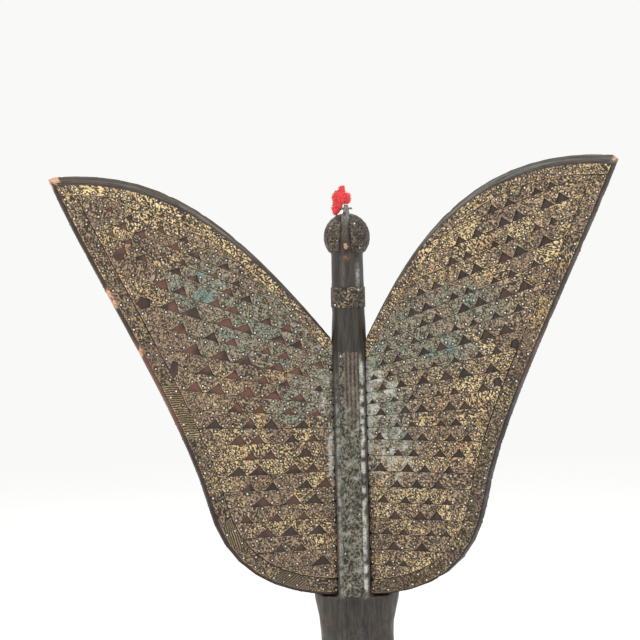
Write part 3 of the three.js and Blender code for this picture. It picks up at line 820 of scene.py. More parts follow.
@dataclass(frozen=True)
class RedCotton:
    """Loose cotton yarn dyed a strong red."""

    bright: str = "ff4a49"
    deep: str = "c4181f"
    straw: str = "b89a6a"
    straw_dark: str = "6d5433"
    fibre: float = 0.7 * MM
    depth: float = 0.5 * MM

    def make(self, shared: SharedEffects) -> bpy.types.Material:
        """Build the material for yarn."""
        material, bench, shader = new_material("red_cotton")
        place = bench.place()
        specks = bench.shared(shared.specks, place)
        fibres = bench.noise(place, self.fibre, 3, (1, 1, 3))
        base = bench.mix(bench.between(specks[0], 0.3, 0.7), self.deep, self.bright)
        straws = bench.mix(fibres, self.straw, self.straw_dark)
        bench.feed(shader, {
            "Base Color": bench.mix(bench.painted("string")[0], base, straws),
            "Normal": bench.bump(fibres, self.depth),
            "Roughness": bench.between(fibres, 0.3, 0.7, (0.85, 1.0)),
            "Sheen Weight": 0.5,
            "Sheen Roughness": 0.5,
        })
        return material


@dataclass(frozen=True)
class PaleFloor:
    """A plain pale studio floor that passes into the backdrop's own tone far away."""

    pale: str = "f8f8f6"
    cloud: str = "f5f5f3"
    backdrop: str = BACKDROP
    near: float = 1.2
    far: float = 5.0

    def make(self) -> bpy.types.Material:
        """Build the material."""
        material, bench, shader = new_material("pale_floor")
        place = bench.place()
        base = bench.mix(bench.noise(place, 0.4, 2), self.pale, self.cloud)
        reach = bench.add("ShaderNodeVectorMath", {0: place}, operation="LENGTH").outputs["Value"]
        away = bench.between(reach, self.near, self.far)
        bench.feed(shader, {
            "Base Color": bench.mix(away, base, (0, 0, 0, 1)),
            "Specular IOR Level": bench.minus(0.5, bench.times(away, 0.5)),
            "Emission Strength": away,
            "Emission Color": self.backdrop,
            "Roughness": 0.9,
        })
        return material


# Wings

class Side(Enum):
    """Which wing, with the sign of its side along X."""

    LEFT = 1
    RIGHT = -1

    @property
    def label(self) -> str:
        """The wing's name in the nodes."""
        return self.name.lower()


@dataclass(frozen=True)
class WingAge:
    """How one wing has aged: where it is rubbed gold, green, crusted, scraped bare or torn."""

    gold: tuple[Spot, ...]
    green: tuple[Spot, ...]
    teal: tuple[Spot, ...]
    crust: tuple[Spot, ...]
    bare: tuple[Spot, ...]
    torn: tuple[Spot, ...]
    red_share: float
    outer_red: float


AGES = {
    Side.LEFT: WingAge(
        gold=patches((300, 205, 90, 45, 0.8), (170, -170, 110, 60)),
        green=patches((119, 29, 120, 75), (64, -96, 60, 40), (209, 94, 70, 50), (12, -60, 45, 80)),
        teal=patches((213, 80, 22, 15, 0.8), (222, 112, 15, 7, 0.7), (82, -36, 22, 9, 0.7)),
        crust=patches((17, -105, 17, 9), (2, -20, 8, 20), (6, -190, 8, 60), (10, -90, 50, 60, 0.5)),
        bare=patches((448, 270, 17, 17), (361, 86, 14, 30), (318, -8, 4, 26)),
        torn=patches((351, 147, 12, 9), (313, 70, 13, 11), (266, -36, 8, 16)),
        red_share=0.5,
        outer_red=1.0,
    ),
    Side.RIGHT: WingAge(
        gold=patches((190, 160, 120, 40), (190, -60, 90, 60), (215, 95, 90, 50, 0.9), (120, -180, 80, 50)),
        green=patches((84, -6, 105, 66), (40, -130, 55, 80), (179, 59, 70, 45)),
        teal=patches((145, -15, 17, 11), (113, -21, 10, 9), (26, -46, 24, 14, 0.48)),
        crust=patches(
            (20, -62, 22, 15), (44, -84, 18, 16), (4, -120, 14, 110, 1.2), (18, -118, 16, 14),
            (34, -160, 14, 10), (48, -190, 60, 66, 0.68), (40, -110, 50, 50, 0.5),
        ),
        bare=patches((427, 279, 6, 5)),
        torn=patches((260, -8, 10, 9), (230, -69, 9, 8)),
        red_share=0.2,
        outer_red=0.7,
    ),
}


class Wing:
    """One wing's frame, outline and age, which its board and its sheets share."""

    ROOT_OFFSET = 27 * MM
    BACK_FACE = 8 * MM
    SWEEP = math.radians(20)
    CUT_DEPTH = -12 * MM
    ROOT_SLACK = 1 * MM

    def __init__(self, side: Side) -> None:
        """Read the board's outline and part it into its leading edge and the rest."""
        self.side = side
        self.age = AGES[side]
        turn = Matrix.Rotation(side.value * self.SWEEP, 4, "Z")
        root = Vector((side.value * self.ROOT_OFFSET, self.BACK_FACE, SHOULDER))
        self.to_bird = Matrix.Translation(root) @ turn
        self.to_face = self.to_bird.inverted()
        self.board = Path.round_node(f"wing_board_{side.label}", self.to_face, self.CUT_DEPTH)
        self.leading, self.trailing = self._edges()

    def _edges(self) -> tuple[Path, Path]:
        """Part the board's outline where the root's top and the tip's top lie."""
        points = self.board.points
        out = points[:, 0] * self.side.value
        root_top = int(np.argmax(np.where(out < self.ROOT_SLACK, points[:, 1], -1)))
        turned = np.roll(points, -root_top, axis=0)
        if turned[1, 0] * self.side.value < self.ROOT_SLACK:
            turned = np.roll(turned[::-1], 1, axis=0)
        tip = int(np.argmax(turned[:, 0] * self.side.value))
        heights = turned[: tip + 1, 1]
        corner = tip - 1 if heights[tip - 1] >= heights[tip] else tip
        return Path(turned[: corner + 1], False), Path(turned[corner:], False)

    def out(self, flat: np.ndarray) -> np.ndarray:
        """The distance out from the root of places in the wing's own plane."""
        return flat[:, 0] * self.side.value


def torn_outline(patch: Spot, side: Side, number: int) -> Path:
    """A ragged outline round a patch, in the wing's own plane."""
    corners, least, raggedness = 5, 0.8, 0.45
    points = []
    for corner in range(corners):
        angle = 2 * math.pi * corner / corners
        reach = least + raggedness * spread(corner, number)
        across = side.value * (patch.out + patch.half_out * reach * math.cos(angle))
        points.append((across, patch.up + patch.half_up * reach * math.sin(angle)))
    return Path(np.array(points), True)


# Sheet metal

class SheetShape:
    """The mesh of one thin sheet on its flat pattern, with a folded rim and a flat back.

    LIP and BACK number the corners of the rim. MERGED is the share of a cell within which
    corners on the edge are joined, and PASSES how often the others are smoothed.
    """

    LIP, BACK = 1, 2
    MERGED = 0.2
    PASSES = 2

    def __init__(self, region: Region, tilt: float, cell: float, tuck: float) -> None:
        """Fill the region with cells and close it behind.

        Args:
            region: Where the sheet lies in its face's plane.
            tilt: How much the rows of cells are turned.
            cell: The size of a cell.
            tuck: How far the rim turns in under the sheet.
        """
        self.region = region
        self.shape = bmesh.new()
        self.rim = self.shape.verts.layers.int.new("rim")
        self.inward = self.shape.verts.layers.float_vector.new("inward")
        self._fill(tilt, cell)
        self._close(tuck)

    def _fill(self, tilt: float, cell: float) -> None:
        """Make the cells, drop those outside the region and draw the rim onto its outline."""
        across = np.array([math.cos(tilt), math.sin(tilt)])
        up = np.array([-math.sin(tilt), math.cos(tilt)])
        local = self.region.outline.points @ np.stack([across, up], axis=1)
        low, high = local.min(0) - cell, local.max(0) + cell
        half = (high - low) / 2
        middle = (low + high) / 2 @ np.stack([across, up])
        counts = np.ceil((high - low) / cell).astype(int)
        placed = Matrix((
            (across[0] * half[0], up[0] * half[1], 0, middle[0]),
            (0, 0, -1, 0),
            (across[1] * half[0], up[1] * half[1], 0, middle[1]),
            (0, 0, 0, 1),
        ))
        bmesh.ops.create_grid(
            self.shape, x_segments=counts[0], y_segments=counts[1], size=1.0, matrix=placed
        )
        centres = np.array([face.calc_center_median().xz for face in self.shape.faces])
        covered = self.region.inside(centres)
        dropped = [face for face, keep in zip(self.shape.faces, covered) if not keep]
        bmesh.ops.delete(self.shape, geom=dropped, context="FACES")
        edge = [vert for vert in self.shape.verts if vert.is_boundary]
        _, points = self.region.nearest(np.array([vert.co.xz for vert in edge]))
        for vert, (x, z) in zip(edge, points):
            vert.co = (x, 0, z)
        bmesh.ops.remove_doubles(self.shape, verts=edge, dist=cell * self.MERGED)
        inner = [vert for vert in self.shape.verts if not vert.is_boundary]
        for _ in range(self.PASSES):
            bmesh.ops.smooth_vert(
                self.shape, verts=inner, factor=0.5, use_axis_x=True, use_axis_z=True
            )

    def _close(self, tuck: float) -> None:
        """Fold the rim back, turn it in and close the back with flat faces."""
        for vert in self.shape.verts:
            if vert.is_boundary:
                centre = sum((face.calc_center_median() for face in vert.link_faces), Vector())
                inward = centre / max(len(vert.link_faces), 1) - vert.co
                vert[self.inward] = inward.normalized() * tuck if inward.length > 1e-9 else Vector()
        edges = [edge for edge in self.shape.edges if edge.is_boundary]
        for number in (self.LIP, self.BACK):
            grown = bmesh.ops.extrude_edge_only(self.shape, edges=edges)["geom"]
            edges = [item for item in grown if isinstance(item, bmesh.types.BMEdge)]
            for vert in (item for item in grown if isinstance(item, bmesh.types.BMVert)):
                vert[self.rim] = number
                if number == self.BACK:
                    vert.co += vert[self.inward]
        back = bmesh.ops.holes_fill(self.shape, edges=edges, sides=0)["faces"]
        bmesh.ops.triangulate(self.shape, faces=back, quad_method="BEAUTY", ngon_method="EAR_CLIP")

    def finish(
        self, name: str, height: Callable[[np.ndarray], np.ndarray], lip: float, back: float
    ) -> tuple[bpy.types.Mesh, np.ndarray]:
        """Give the sheet its relief.

        Args:
            name: The mesh's name.
            height: Says how far the front stands off the face at places in its plane.
            lip: How thick the sheet is at its rim.
            back: How far off the face its hidden back stands.

        Returns:
            The mesh in its face's own frame, and its corners' places in the face's plane.
        """
        mesh = mesh_from(self.shape, name)
        rims = np.zeros(len(mesh.vertices), np.int32)
        mesh.attributes["rim"].data.foreach_get("value", rims)
        for spare in ("rim", "inward"):
            mesh.attributes.remove(mesh.attributes[spare])
        spots = spots_of(mesh)
        flat = spots[:, ::2].copy()
        front = height(flat)
        spots[:, 1] = np.where(rims == self.BACK, back, front - lip * (rims == self.LIP))
        move_spots(mesh, spots)
        again = bmesh.new()
        again.from_mesh(mesh)
        bmesh.ops.recalc_face_normals(again, faces=again.faces)
        again.to_mesh(mesh)
        again.free()
        return mesh, flat


class Sheet(Enum):
    """What a sheet on a wing is for, with how gold and how green it has aged."""

    LEADING = (0.76, 0.12)
    OUTER = (0.56, 0.3)
    ROW = (0.52, 1.0)

    def __init__(self, gold: float, green: float) -> None:
        """Keep the two shares."""
        self.gold = gold
        self.green = green

    @property
    def banded(self) -> bool:
        """Whether it is a border, whose seams cross the board's outline."""
        return self is not Sheet.ROW


@dataclass(frozen=True)
class Lay:
    """How the stamped pattern lies on one feather, and how the feather has aged."""

    turn: float
    stretch: float
    shift: float
    gold: float
    draw: float
    lined: bool


def draw_lays(count: int, seed: int, lined: float) -> list[Lay]:
    """Draw a lay for each feather of a sheet, a share of them stamped with straight lines."""
    draw = np.random.default_rng(seed)
    turns = (0.0, math.pi / 2, 0.5, -0.6, 0.1, 1.3)
    return [
        Lay(
            turn=turns[draw.integers(len(turns))],
            stretch=float(draw.choice((1.0, 1.0, 1.3, 1.9))),
            shift=float(draw.uniform(0, 50)),
            gold=float(draw.uniform(-0.22, 0.22)),
            draw=float(draw.uniform()),
            lined=bool(draw.uniform() < lined),
        )
        for _ in range(count)
    ]


class EmbossedSheet:
    """One sheet of embossed metal on a wing, nailed round its edge, that replaces its CAD node.

    WORM, STROKE and LINES are the sizes of the stamped pattern, NOTCH is the turn past which a
    corner is a notch's apex, and a dent or buckle is given by its depth and its size.
    """

    SHEET = 0.5 * MM
    BACK = -1.9 * MM
    FACE = 0.95 * MM
    TUCK = 1.0 * MM
    SECTION = 0.8 * MM
    WORM = 3.2 * MM
    STROKE = 5.6 * MM
    LINES = 3.6 * MM
    LINED = 0.06
    RELIEF = 0.45 * MM
    CORNER = 4.5 * MM
    NOTCH = -1.2
    TILE = 48 * MM
    NAIL_SPACING = 22 * MM
    NAIL_INSET = 3.9 * MM
    NAIL_GAP = 9 * MM
    NAIL_EDGE = 2.4 * MM
    NAIL_DENT = (-0.5 * MM, 3.2 * MM)
    BUCKLES = ((0.35 * MM, 26 * MM), (0.18 * MM, 9 * MM))
    CURLED_EDGE = Swell(0.85 * MM, 7 * MM)
    PRESSED_EDGE = Swell(-0.35 * MM, 4 * MM)
    LAP = Swell(0.4 * MM, 5 * MM)
    PAINT_LAYER = 7.0

    def __init__(
        self, wing: Wing, node: str, number: int, tilt: float, kind: Sheet, cell: float
    ) -> None:
        """Read the sheet's outline from its node, and place its seams and nails.

        Args:
            wing: The wing that it lies on.
            node: The CAD node that it replaces.
            number: Its number, which seeds its draws.
            tilt: How its row is turned.
            kind: What it is for.
            cell: The size of its cells.
        """
        self.wing = wing
        self.node = node
        self.number = number
        self.tilt = tilt
        self.kind = kind
        self.cell = cell
        outline = Path.round_node(node, wing.to_face, self.SECTION)
        self.seams = self._seams(outline)
        tears = [torn_outline(patch, wing.side, index) for index, patch in enumerate(wing.age.torn)]
        self.region = Region(outline.rounded(self.CORNER), tears)
        lined = self.LINED if kind is Sheet.OUTER else 0
        self.lays = draw_lays(len(self.seams) + 1, number, lined)
        self.nails = self._nails()

    def _seams(self, outline: Path) -> np.ndarray:
        """Where one feather ends and the next begins: over a notch's apex, or at even steps."""
        draw = np.random.default_rng(self.number)
        if self.kind.banded:
            count = int(self.wing.board.way[-1] / self.TILE)
            return (np.arange(count) + draw.uniform(-0.25, 0.25, count)) * self.TILE
        apexes = outline.points[outline.turns() < self.NOTCH]
        return np.sort(apexes[:, 0] * self.wing.side.value)

    def _along(self, flat: np.ndarray) -> np.ndarray:
        """How far along the sheet each place is."""
        if self.kind.banded:
            return self.wing.board.nearest(flat)[2]
        return self.wing.out(flat)

    def _of_lays(self, flat: np.ndarray, *names: str) -> list[np.ndarray]:
        """What the lays say under each name for the feather at each place."""
        which = np.searchsorted(self.seams, self._along(flat))
        return [np.array([getattr(lay, name) for lay in self.lays])[which] for name in names]

    def _nails(self) -> np.ndarray:
        """Nail places along the sheet's edge, and far enough from each other."""
        draw = np.random.default_rng(self.number + 500)
        outline = self.region.outline
        places: list[np.ndarray] = []
        along = float(draw.uniform(0, self.NAIL_SPACING))
        while along < outline.way[-1]:
            point, direction = outline.point_at(along)
            inward = np.array([-direction[1], direction[0]])
            place = point + inward * self.NAIL_INSET * draw.uniform(0.85, 1.3)
            clear = all(np.linalg.norm(place - other) > self.NAIL_GAP for other in places)
            held = self.region.inside(place[None])[0]
            if clear and held and self.region.nearest(place[None])[0][0] > self.NAIL_EDGE:
                places.append(place)
            along += self.NAIL_SPACING * draw.uniform(0.72, 1.28)
        return np.array(places).reshape(-1, 2)

    def _nail_gap(self, flat: np.ndarray) -> np.ndarray:
        """The distance from each place to the nearest nail."""
        if not len(self.nails):
            return np.full(len(flat), 1.0)
        return np.min(np.linalg.norm(flat[:, None] - self.nails[None], axis=2), axis=1)

    def _stamp(self, flat: np.ndarray) -> np.ndarray:
        """The stamped pattern of short curling strokes, from 0 between them to 1 on top."""
        turn, stretch, shift, lined = self._of_lays(flat, "turn", "stretch", "shift", "lined")
        turn = turn + self.tilt
        across = flat[:, 0] * np.cos(turn) + flat[:, 1] * np.sin(turn)
        up = flat[:, 1] * np.cos(turn) - flat[:, 0] * np.sin(turn)
        spots = in_layer(np.stack([across / stretch, up], axis=1), shift)
        ridge = 1 - smoothstep(0.05, 0.38, np.abs(NOISE.at(spots, self.WORM)))
        curls = ridge * smoothstep(0.03, 0.15, np.abs(NOISE.at(spots + 3, self.STROKE)))
        bent = up + 1.5 * MM * NOISE.at(spots, 14 * MM)
        waves = np.cos(2 * math.pi * bent / self.LINES) + 0.4 * NOISE.at(spots, self.WORM)
        return np.where(lined, smoothstep(-0.2, 0.9, waves), curls)

    def _edge(self, flat: np.ndarray) -> tuple[np.ndarray, np.ndarray]:
        """The distance to the sheet's edge, and from -1 to 1 how far up its row that edge lies."""
        distance, points = self.region.nearest(flat)
        up = np.array([-math.sin(self.tilt), math.cos(self.tilt)])
        return distance, (points - flat) @ up / np.maximum(distance, 1e-6)

    def height(self, flat: np.ndarray) -> np.ndarray:
        """How far the sheet's front stands off the board."""
        distance, side = self._edge(flat)
        spots = in_layer(flat, self.number * 0.1)
        buckle = sum(depth * NOISE.at(spots, size) for depth, size in self.BUCKLES)
        lower = smoothstep(0.2, 0.8, -side) * self.CURLED_EDGE.at(distance)
        upper = smoothstep(0.3, 0.9, side) * self.PRESSED_EDGE.at(distance)
        stamp = self._stamp(flat) * self.RELIEF * smoothstep(0, 1.5 * MM, distance)
        depth, reach = self.NAIL_DENT
        dent = depth * np.exp(-((self._nail_gap(flat) / reach) ** 2))
        step = self.LAP.at(self._past_seam(flat))
        return self.FACE + buckle + lower + upper + stamp + dent + step

    def _past_seam(self, flat: np.ndarray) -> np.ndarray:
        """How far each place lies past the last seam before it."""
        along = self._along(flat)
        which = np.searchsorted(self.seams, along)
        starts = np.concatenate([[-1.0], self.seams])[which]
        return along - starts

    def _worn(self, distance: np.ndarray, side: np.ndarray) -> np.ndarray:
        """How much the lower edge is rubbed and, on a feather row, how much the upper edge gets a painted
        highlight.
        """
        worn = smoothstep(1.7 * MM, 0.5 * MM, distance) * (side < -0.3)
        if self.kind.banded:
            return worn
        # On a feather row the upper edge gets a painted highlight, a thin bright line where it would catch
        # the light.
        return np.maximum(worn, 0.75 * smoothstep(1.1 * MM, 0.3 * MM, distance) * (side > 0.5))

    def _dirt(self, flat: np.ndarray, distance: np.ndarray, cloud: np.ndarray) -> np.ndarray:
        """Darkening from dirt and painted shade round the nails and from dirt past the seams, with a faint
        darkening along the edge and, over the outer border, a darkening that grows towards its bottom.
        """
        low = smoothstep(60 * MM, -100 * MM, flat[:, 1])
        # Dirt and painted shade: a dark band round each nail, where its dent and the head's shadow lie.
        nail_dirt_and_shade = smoothstep(3.9 * MM, 2.5 * MM, self._nail_gap(flat)) * 0.85
        seam = smoothstep(1.3 * MM, 0.3 * MM, self._past_seam(flat)) * 0.6
        # A faint darkening all along the edge.
        rim = smoothstep(1.4 * MM, 0.2 * MM, distance) * 0.1
        # Over the outer border: a darkening in clouds that grows towards the bottom.
        outer_darkening = (0.12 + 0.32 * low + cloud) * (self.kind is Sheet.OUTER)
        return np.clip(np.maximum.reduce([nail_dirt_and_shade, seam, rim, outer_darkening]), 0, 1)

    def _paint(self, mesh: bpy.types.Mesh, flat: np.ndarray) -> None:
        """Paint the sheet's relief, with a painted highlight on row edges, its dirt and painted shade, and
        its stains.
        """
        distance, side = self._edge(flat)
        out, up = self.wing.out(flat), flat[:, 1]
        age = self.wing.age
        lay_gold, lay_draw = self._of_lays(flat, "gold", "draw")
        spots = in_layer(flat, self.PAINT_LAYER)
        patchy = NOISE.at(spots, 45 * MM)
        fine = NOISE.at(spots, 11 * MM)
        green = total_share(age.green, out, up) * 1.25 + 0.3 * patchy + 0.25 * (lay_draw - 0.5)
        green = smoothstep(0.15, 1.05, green + 0.2 * fine) * self.kind.green
        # worn holds the rubbed lower edge and, on rows, the painted highlight along the upper edge; both
        # raise the gold and the level.
        worn = self._worn(distance, side)
        gold = self.kind.gold + lay_gold + 0.3 * patchy - 0.5 * green + 0.15 * fine
        gold += 0.25 * total_share(age.gold, out, up) + 0.3 * worn
        teal = smoothstep(0.3, 0.6, total_share(age.teal, out, up) + 0.1 * fine)
        teal += 0.25 * green * smoothstep(0.7, 0.95, lay_draw)
        pink = 0.15 + 0.5 * green + 0.5 * NOISE.at(spots + 5, 24 * MM)
        cloud = NOISE.at(spots + 8, 9 * MM) + 0.5 * NOISE.at(spots + 9, 4 * MM)
        crust = smoothstep(0.35, 1.15, total_share(age.crust, out, up) + 0.5 * cloud)
        raised = np.maximum(self._stamp(flat), worn * 0.9)
        # dirt holds dirt and the painted shade round the nails.
        dirt = self._dirt(flat, distance, 0.25 * patchy + 0.2 * fine)
        paint(mesh, "relief", (raised, np.clip(gold, 0, 1), np.maximum(green, teal * 0.95), dirt))
        paint(mesh, "stains", (np.clip(teal, 0, 1), np.clip(pink, 0, 1), crust, lay_draw))

    def build(self, material: bpy.types.Material) -> bpy.types.Object:
        """Make the sheet and let it stand for its node."""
        shape = SheetShape(self.region, self.tilt, self.cell, self.TUCK)
        mesh, flat = shape.finish(self.node + "_metal", self.height, self.SHEET, self.BACK)
        self._paint(mesh, flat)
        mesh.transform(self.wing.to_bird)
        return kept(shown(mesh, material), "sheet_brass", self.node)


class Swarm:
    """Many copies of one small shape, fused into one mesh."""

    def __init__(self, copied: bmesh.types.BMesh) -> None:
        """Start with no copies.

        Args:
            copied: The small shape, which is freed.
        """
        self.copied = mesh_from(copied, "copied")
        self.shape = bmesh.new()

    def add(self, placed: Matrix) -> None:
        """Add a copy at a place."""
        self.copied.transform(placed)
        self.shape.from_mesh(self.copied)
        self.copied.transform(placed.inverted())

    def finish(self, name: str) -> bpy.types.Mesh:
        """Give the mesh of all copies."""
        bpy.data.meshes.remove(self.copied)
        return mesh_from(self.shape, name)


@dataclass
class Nails:
    """Many domed nail heads, fused into one piece."""

    name: str
    radius: float = 1.95 * MM
    dome: float = 1.4 * MM
    least: float = 0.85
    most: float = 1.12
    lean: float = 0.12
    around: int = 8
    rings: int = 4

    def __post_init__(self) -> None:
        """Make the one head that is copied."""
        head = bmesh.new()
        bmesh.ops.create_uvsphere(head, u_segments=self.around, v_segments=self.rings, radius=1.0)
        heights = np.array([corner.co.z for corner in head.verts])
        # Painted light: the upper part of each dome counts as its lit top, the rest as its shaded sides.
        self.tops = np.clip((heights - 0.2) / 0.5, 0, 1)
        self.heads = Swarm(head)
        self.shine: list[float] = []
        self.draw = np.random.default_rng(77)

    def drive(self, place: Vector, outward: Vector) -> None:
        """Add one nail head, sunk a little in the metal.

        Args:
            place: The middle of the head, on the metal's front.
            outward: The way that it looks.
        """
        size = self.radius * self.draw.uniform(self.least, self.most)
        stand = outward.to_track_quat("Z", "Y").to_matrix().to_4x4()
        lean = Matrix.Rotation(self.draw.uniform(-self.lean, self.lean), 4, "X")
        squash = Matrix.Diagonal((size, size, self.dome, 1))
        self.heads.add(Matrix.Translation(place) @ stand @ lean @ squash)
        self.shine.append(float(self.draw.uniform()))

    def build(self, material: bpy.types.Material) -> bpy.types.Object:
        """Finish the piece."""
        mesh = self.heads.finish(self.name)
        # Each head carries its lit top, for the painted shade, and its nail's own brightness.
        tops = np.tile(self.tops, len(self.shine))
        paint(mesh, "lit_top_and_tone", (tops, np.repeat(self.shine, len(self.tops))))
        return kept(shown(mesh, material, 180), "nail_steel")


@dataclass
class BoardPlaces:
    """Where a board's corners lie against its edges, its bare rim and its metal."""

    lead_gap: np.ndarray
    trail_gap: np.ndarray
    along: np.ndarray
    rim: np.ndarray
    back: np.ndarray
    clad: np.ndarray

    @property
    def gap(self) -> np.ndarray:
        """The distance to the nearest edge."""
        return np.minimum(self.lead_gap, self.trail_gap)


@dataclass
class CladWing:
    """A wing board with its metal and nails."""

    wing: Wing
    wood: bpy.types.Material
    brass: bpy.types.Material
    nail: bpy.types.Material
    rows: int = 23
    cell: float = 1.1 * MM
    board_cell: float = 3.6 * MM
    board_layer: float = 5 * MM
    inlaid: float = 1.2 * MM
    rim_root: float = 5.5 * MM
    rim_tip: float = 15 * MM
    rim_full: float = 0.67
    margin: float = 4 * MM
    scoop: float = 13 * MM
    scoop_depth: float = 0.45 * MM
    chip_depth: float = 1.3 * MM
    chamfer: float = 0.8 * MM

    def build(self) -> None:
        """Make the board, the sheets and the nails."""
        self._board()
        label = self.wing.side.label
        nails = Nails(f"wing_nails_{label}")
        sheets = [
            self._sheet(f"leading_border_{label}", 1, Sheet.LEADING),
            self._sheet(f"outer_border_{label}", 2, Sheet.OUTER),
        ]
        for row in range(1, self.rows + 1):
            sheets.append(self._sheet(f"feather_row_{label}_{row:02d}", row + 10, Sheet.ROW))
        outward = self.wing.to_bird.to_3x3() @ Vector((0, 1, 0))
        for sheet in sheets:
            sheet.build(self.brass)
            if len(sheet.nails):
                for (x, z), off in zip(sheet.nails, sheet.height(sheet.nails)):
                    nails.drive(self.wing.to_bird @ Vector((x, off, z)), outward)
        nails.build(self.nail)

    def _sheet(self, node: str, number: int, kind: Sheet) -> EmbossedSheet:
        """Prepare one sheet, turned as its row is."""
        seed = number + (100 if self.wing.side is Side.RIGHT else 0)
        tilt = 0.0 if kind.banded else self._tilt(node)
        return EmbossedSheet(self.wing, node, seed, tilt, kind, cell_of(self.cell))

    def _tilt(self, node: str) -> float:
        """The turn of a row, from the line through the middle of its two ends."""
        points = Path.round_node(node, self.wing.to_face, EmbossedSheet.SECTION).points
        spread_out = points - points.mean(0)
        _, _, axes = np.linalg.svd(spread_out, full_matrices=False)
        return math.atan(axes[0][1] / axes[0][0])

    def _board(self) -> bpy.types.Object:
        """Make the wooden board, its clad face a little inlaid and its edges worn."""
        label = self.wing.side.label
        node = f"wing_board_{label}"
        cell = cell_of(self.board_cell)
        steps = {0: cell, 2: cell, 1: self.board_layer}
        mesh = mesh_from(sliced(node, self.wing.to_face, steps), node + "_wood")
        spots, normals = spots_of(mesh), normals_of(mesh)
        at = self._places(spots)
        covered = at.back * at.clad
        apart = spots + (0, self.wing.side.value, 0)
        marks = tool_marks(apart, self.scoop, 2.2, 5)
        chips = smoothstep(0.35, 0.75, NOISE.at(spots + 2, 16 * MM)) * smoothstep(7 * MM, 1 * MM, at.gap)
        facing = np.abs(normals[:, 1])
        cornered = smoothstep(0.96, 0.8, facing) * smoothstep(0.05, 0.3, facing)
        depth = (marks - 1) * self.scoop_depth - chips * self.chip_depth
        depth = depth * (1 - covered) - cornered * self.chamfer
        spots += normals * depth[:, None]
        spots[:, 1] -= covered * self.inlaid
        move_spots(mesh, spots)
        self._paint_board(mesh, spots, at)
        mesh.transform(self.wing.to_bird)
        return kept(shown(mesh, self.wood), "wing_wood", node)

    def _places(self, spots: np.ndarray) -> BoardPlaces:
        """Place the board's corners against its edges, its bare rim and its metal."""
        lead_gap, _, along = self.wing.leading.nearest(spots[:, ::2])
        trail_gap, _, _ = self.wing.trailing.nearest(spots[:, ::2])
        grown = np.minimum(1, along / self.wing.leading.way[-1] / self.rim_full)
        rim = self.rim_root + (self.rim_tip - self.rim_root) * grown
        back = smoothstep(-3 * MM, -0.5 * MM, spots[:, 1])
        past_rim, past_margin = lead_gap - rim, trail_gap - self.margin
        clad = smoothstep(-1 * MM, 2 * MM, past_rim) * smoothstep(-1 * MM, 2 * MM, past_margin)
        return BoardPlaces(lead_gap, trail_gap, along, rim, back, clad)

    def _paint_board(self, mesh: bpy.types.Mesh, spots: np.ndarray, at: BoardPlaces) -> None:
        """Paint the board's bare rim with painted shade next to the metal, its scrapes, its darkening near
        the root and the wood under the metal.
        """
        age = self.wing.age
        out, behind, up = spots[:, 0] * self.wing.side.value, spots[:, 1], spots[:, 2]
        fine = NOISE.at(spots, 12 * MM)
        past_rim = at.lead_gap - at.rim
        bevel = smoothstep(2 * MM, -1 * MM, past_rim) * smoothstep(-11 * MM, -8 * MM, behind)
        # Painted shade: the rim darkens along its inner side next to the metal, so that its outer edge
        # stays lighter.
        lip = smoothstep(-6 * MM, -1.5 * MM, past_rim)
        scraped = total_share(age.bare, out, up) * smoothstep(-0.8, 0.2, fine)
        scraped *= smoothstep(12 * MM, 6 * MM, at.gap) * smoothstep(-24 * MM, -14 * MM, behind)
        reds = smoothstep(0.15, -0.15, NOISE.at(spots + 9, 21 * MM) - (age.red_share - 0.5))
        reds *= 1 - total_share(age.torn, out, up)
        reds *= 0.5 + 0.5 * smoothstep(-190 * MM, -90 * MM, up)
        edge = smoothstep(7 * MM, 4 * MM, at.trail_gap) * smoothstep(30 * MM, -10 * MM, up)
        under = np.maximum(at.back * at.clad * reds, edge * age.outer_red)
        # Darker near the root, and the rim's painted shade next to the metal.
        root = smoothstep(95 * MM, 30 * MM, at.along) * (1 - at.clad)
        dark = np.maximum(root, bevel * lip * 0.85)
        paint(mesh, "board", (bevel * (1 - 0.4 * lip), scraped, under, dark))
        layer = mesh.attributes.new("lay", "FLOAT_VECTOR", "POINT")
        lay = np.stack([at.along, at.lead_gap, behind], axis=1)
        layer.data.foreach_set("vector", lay.astype(np.float32).ravel())


# The bird

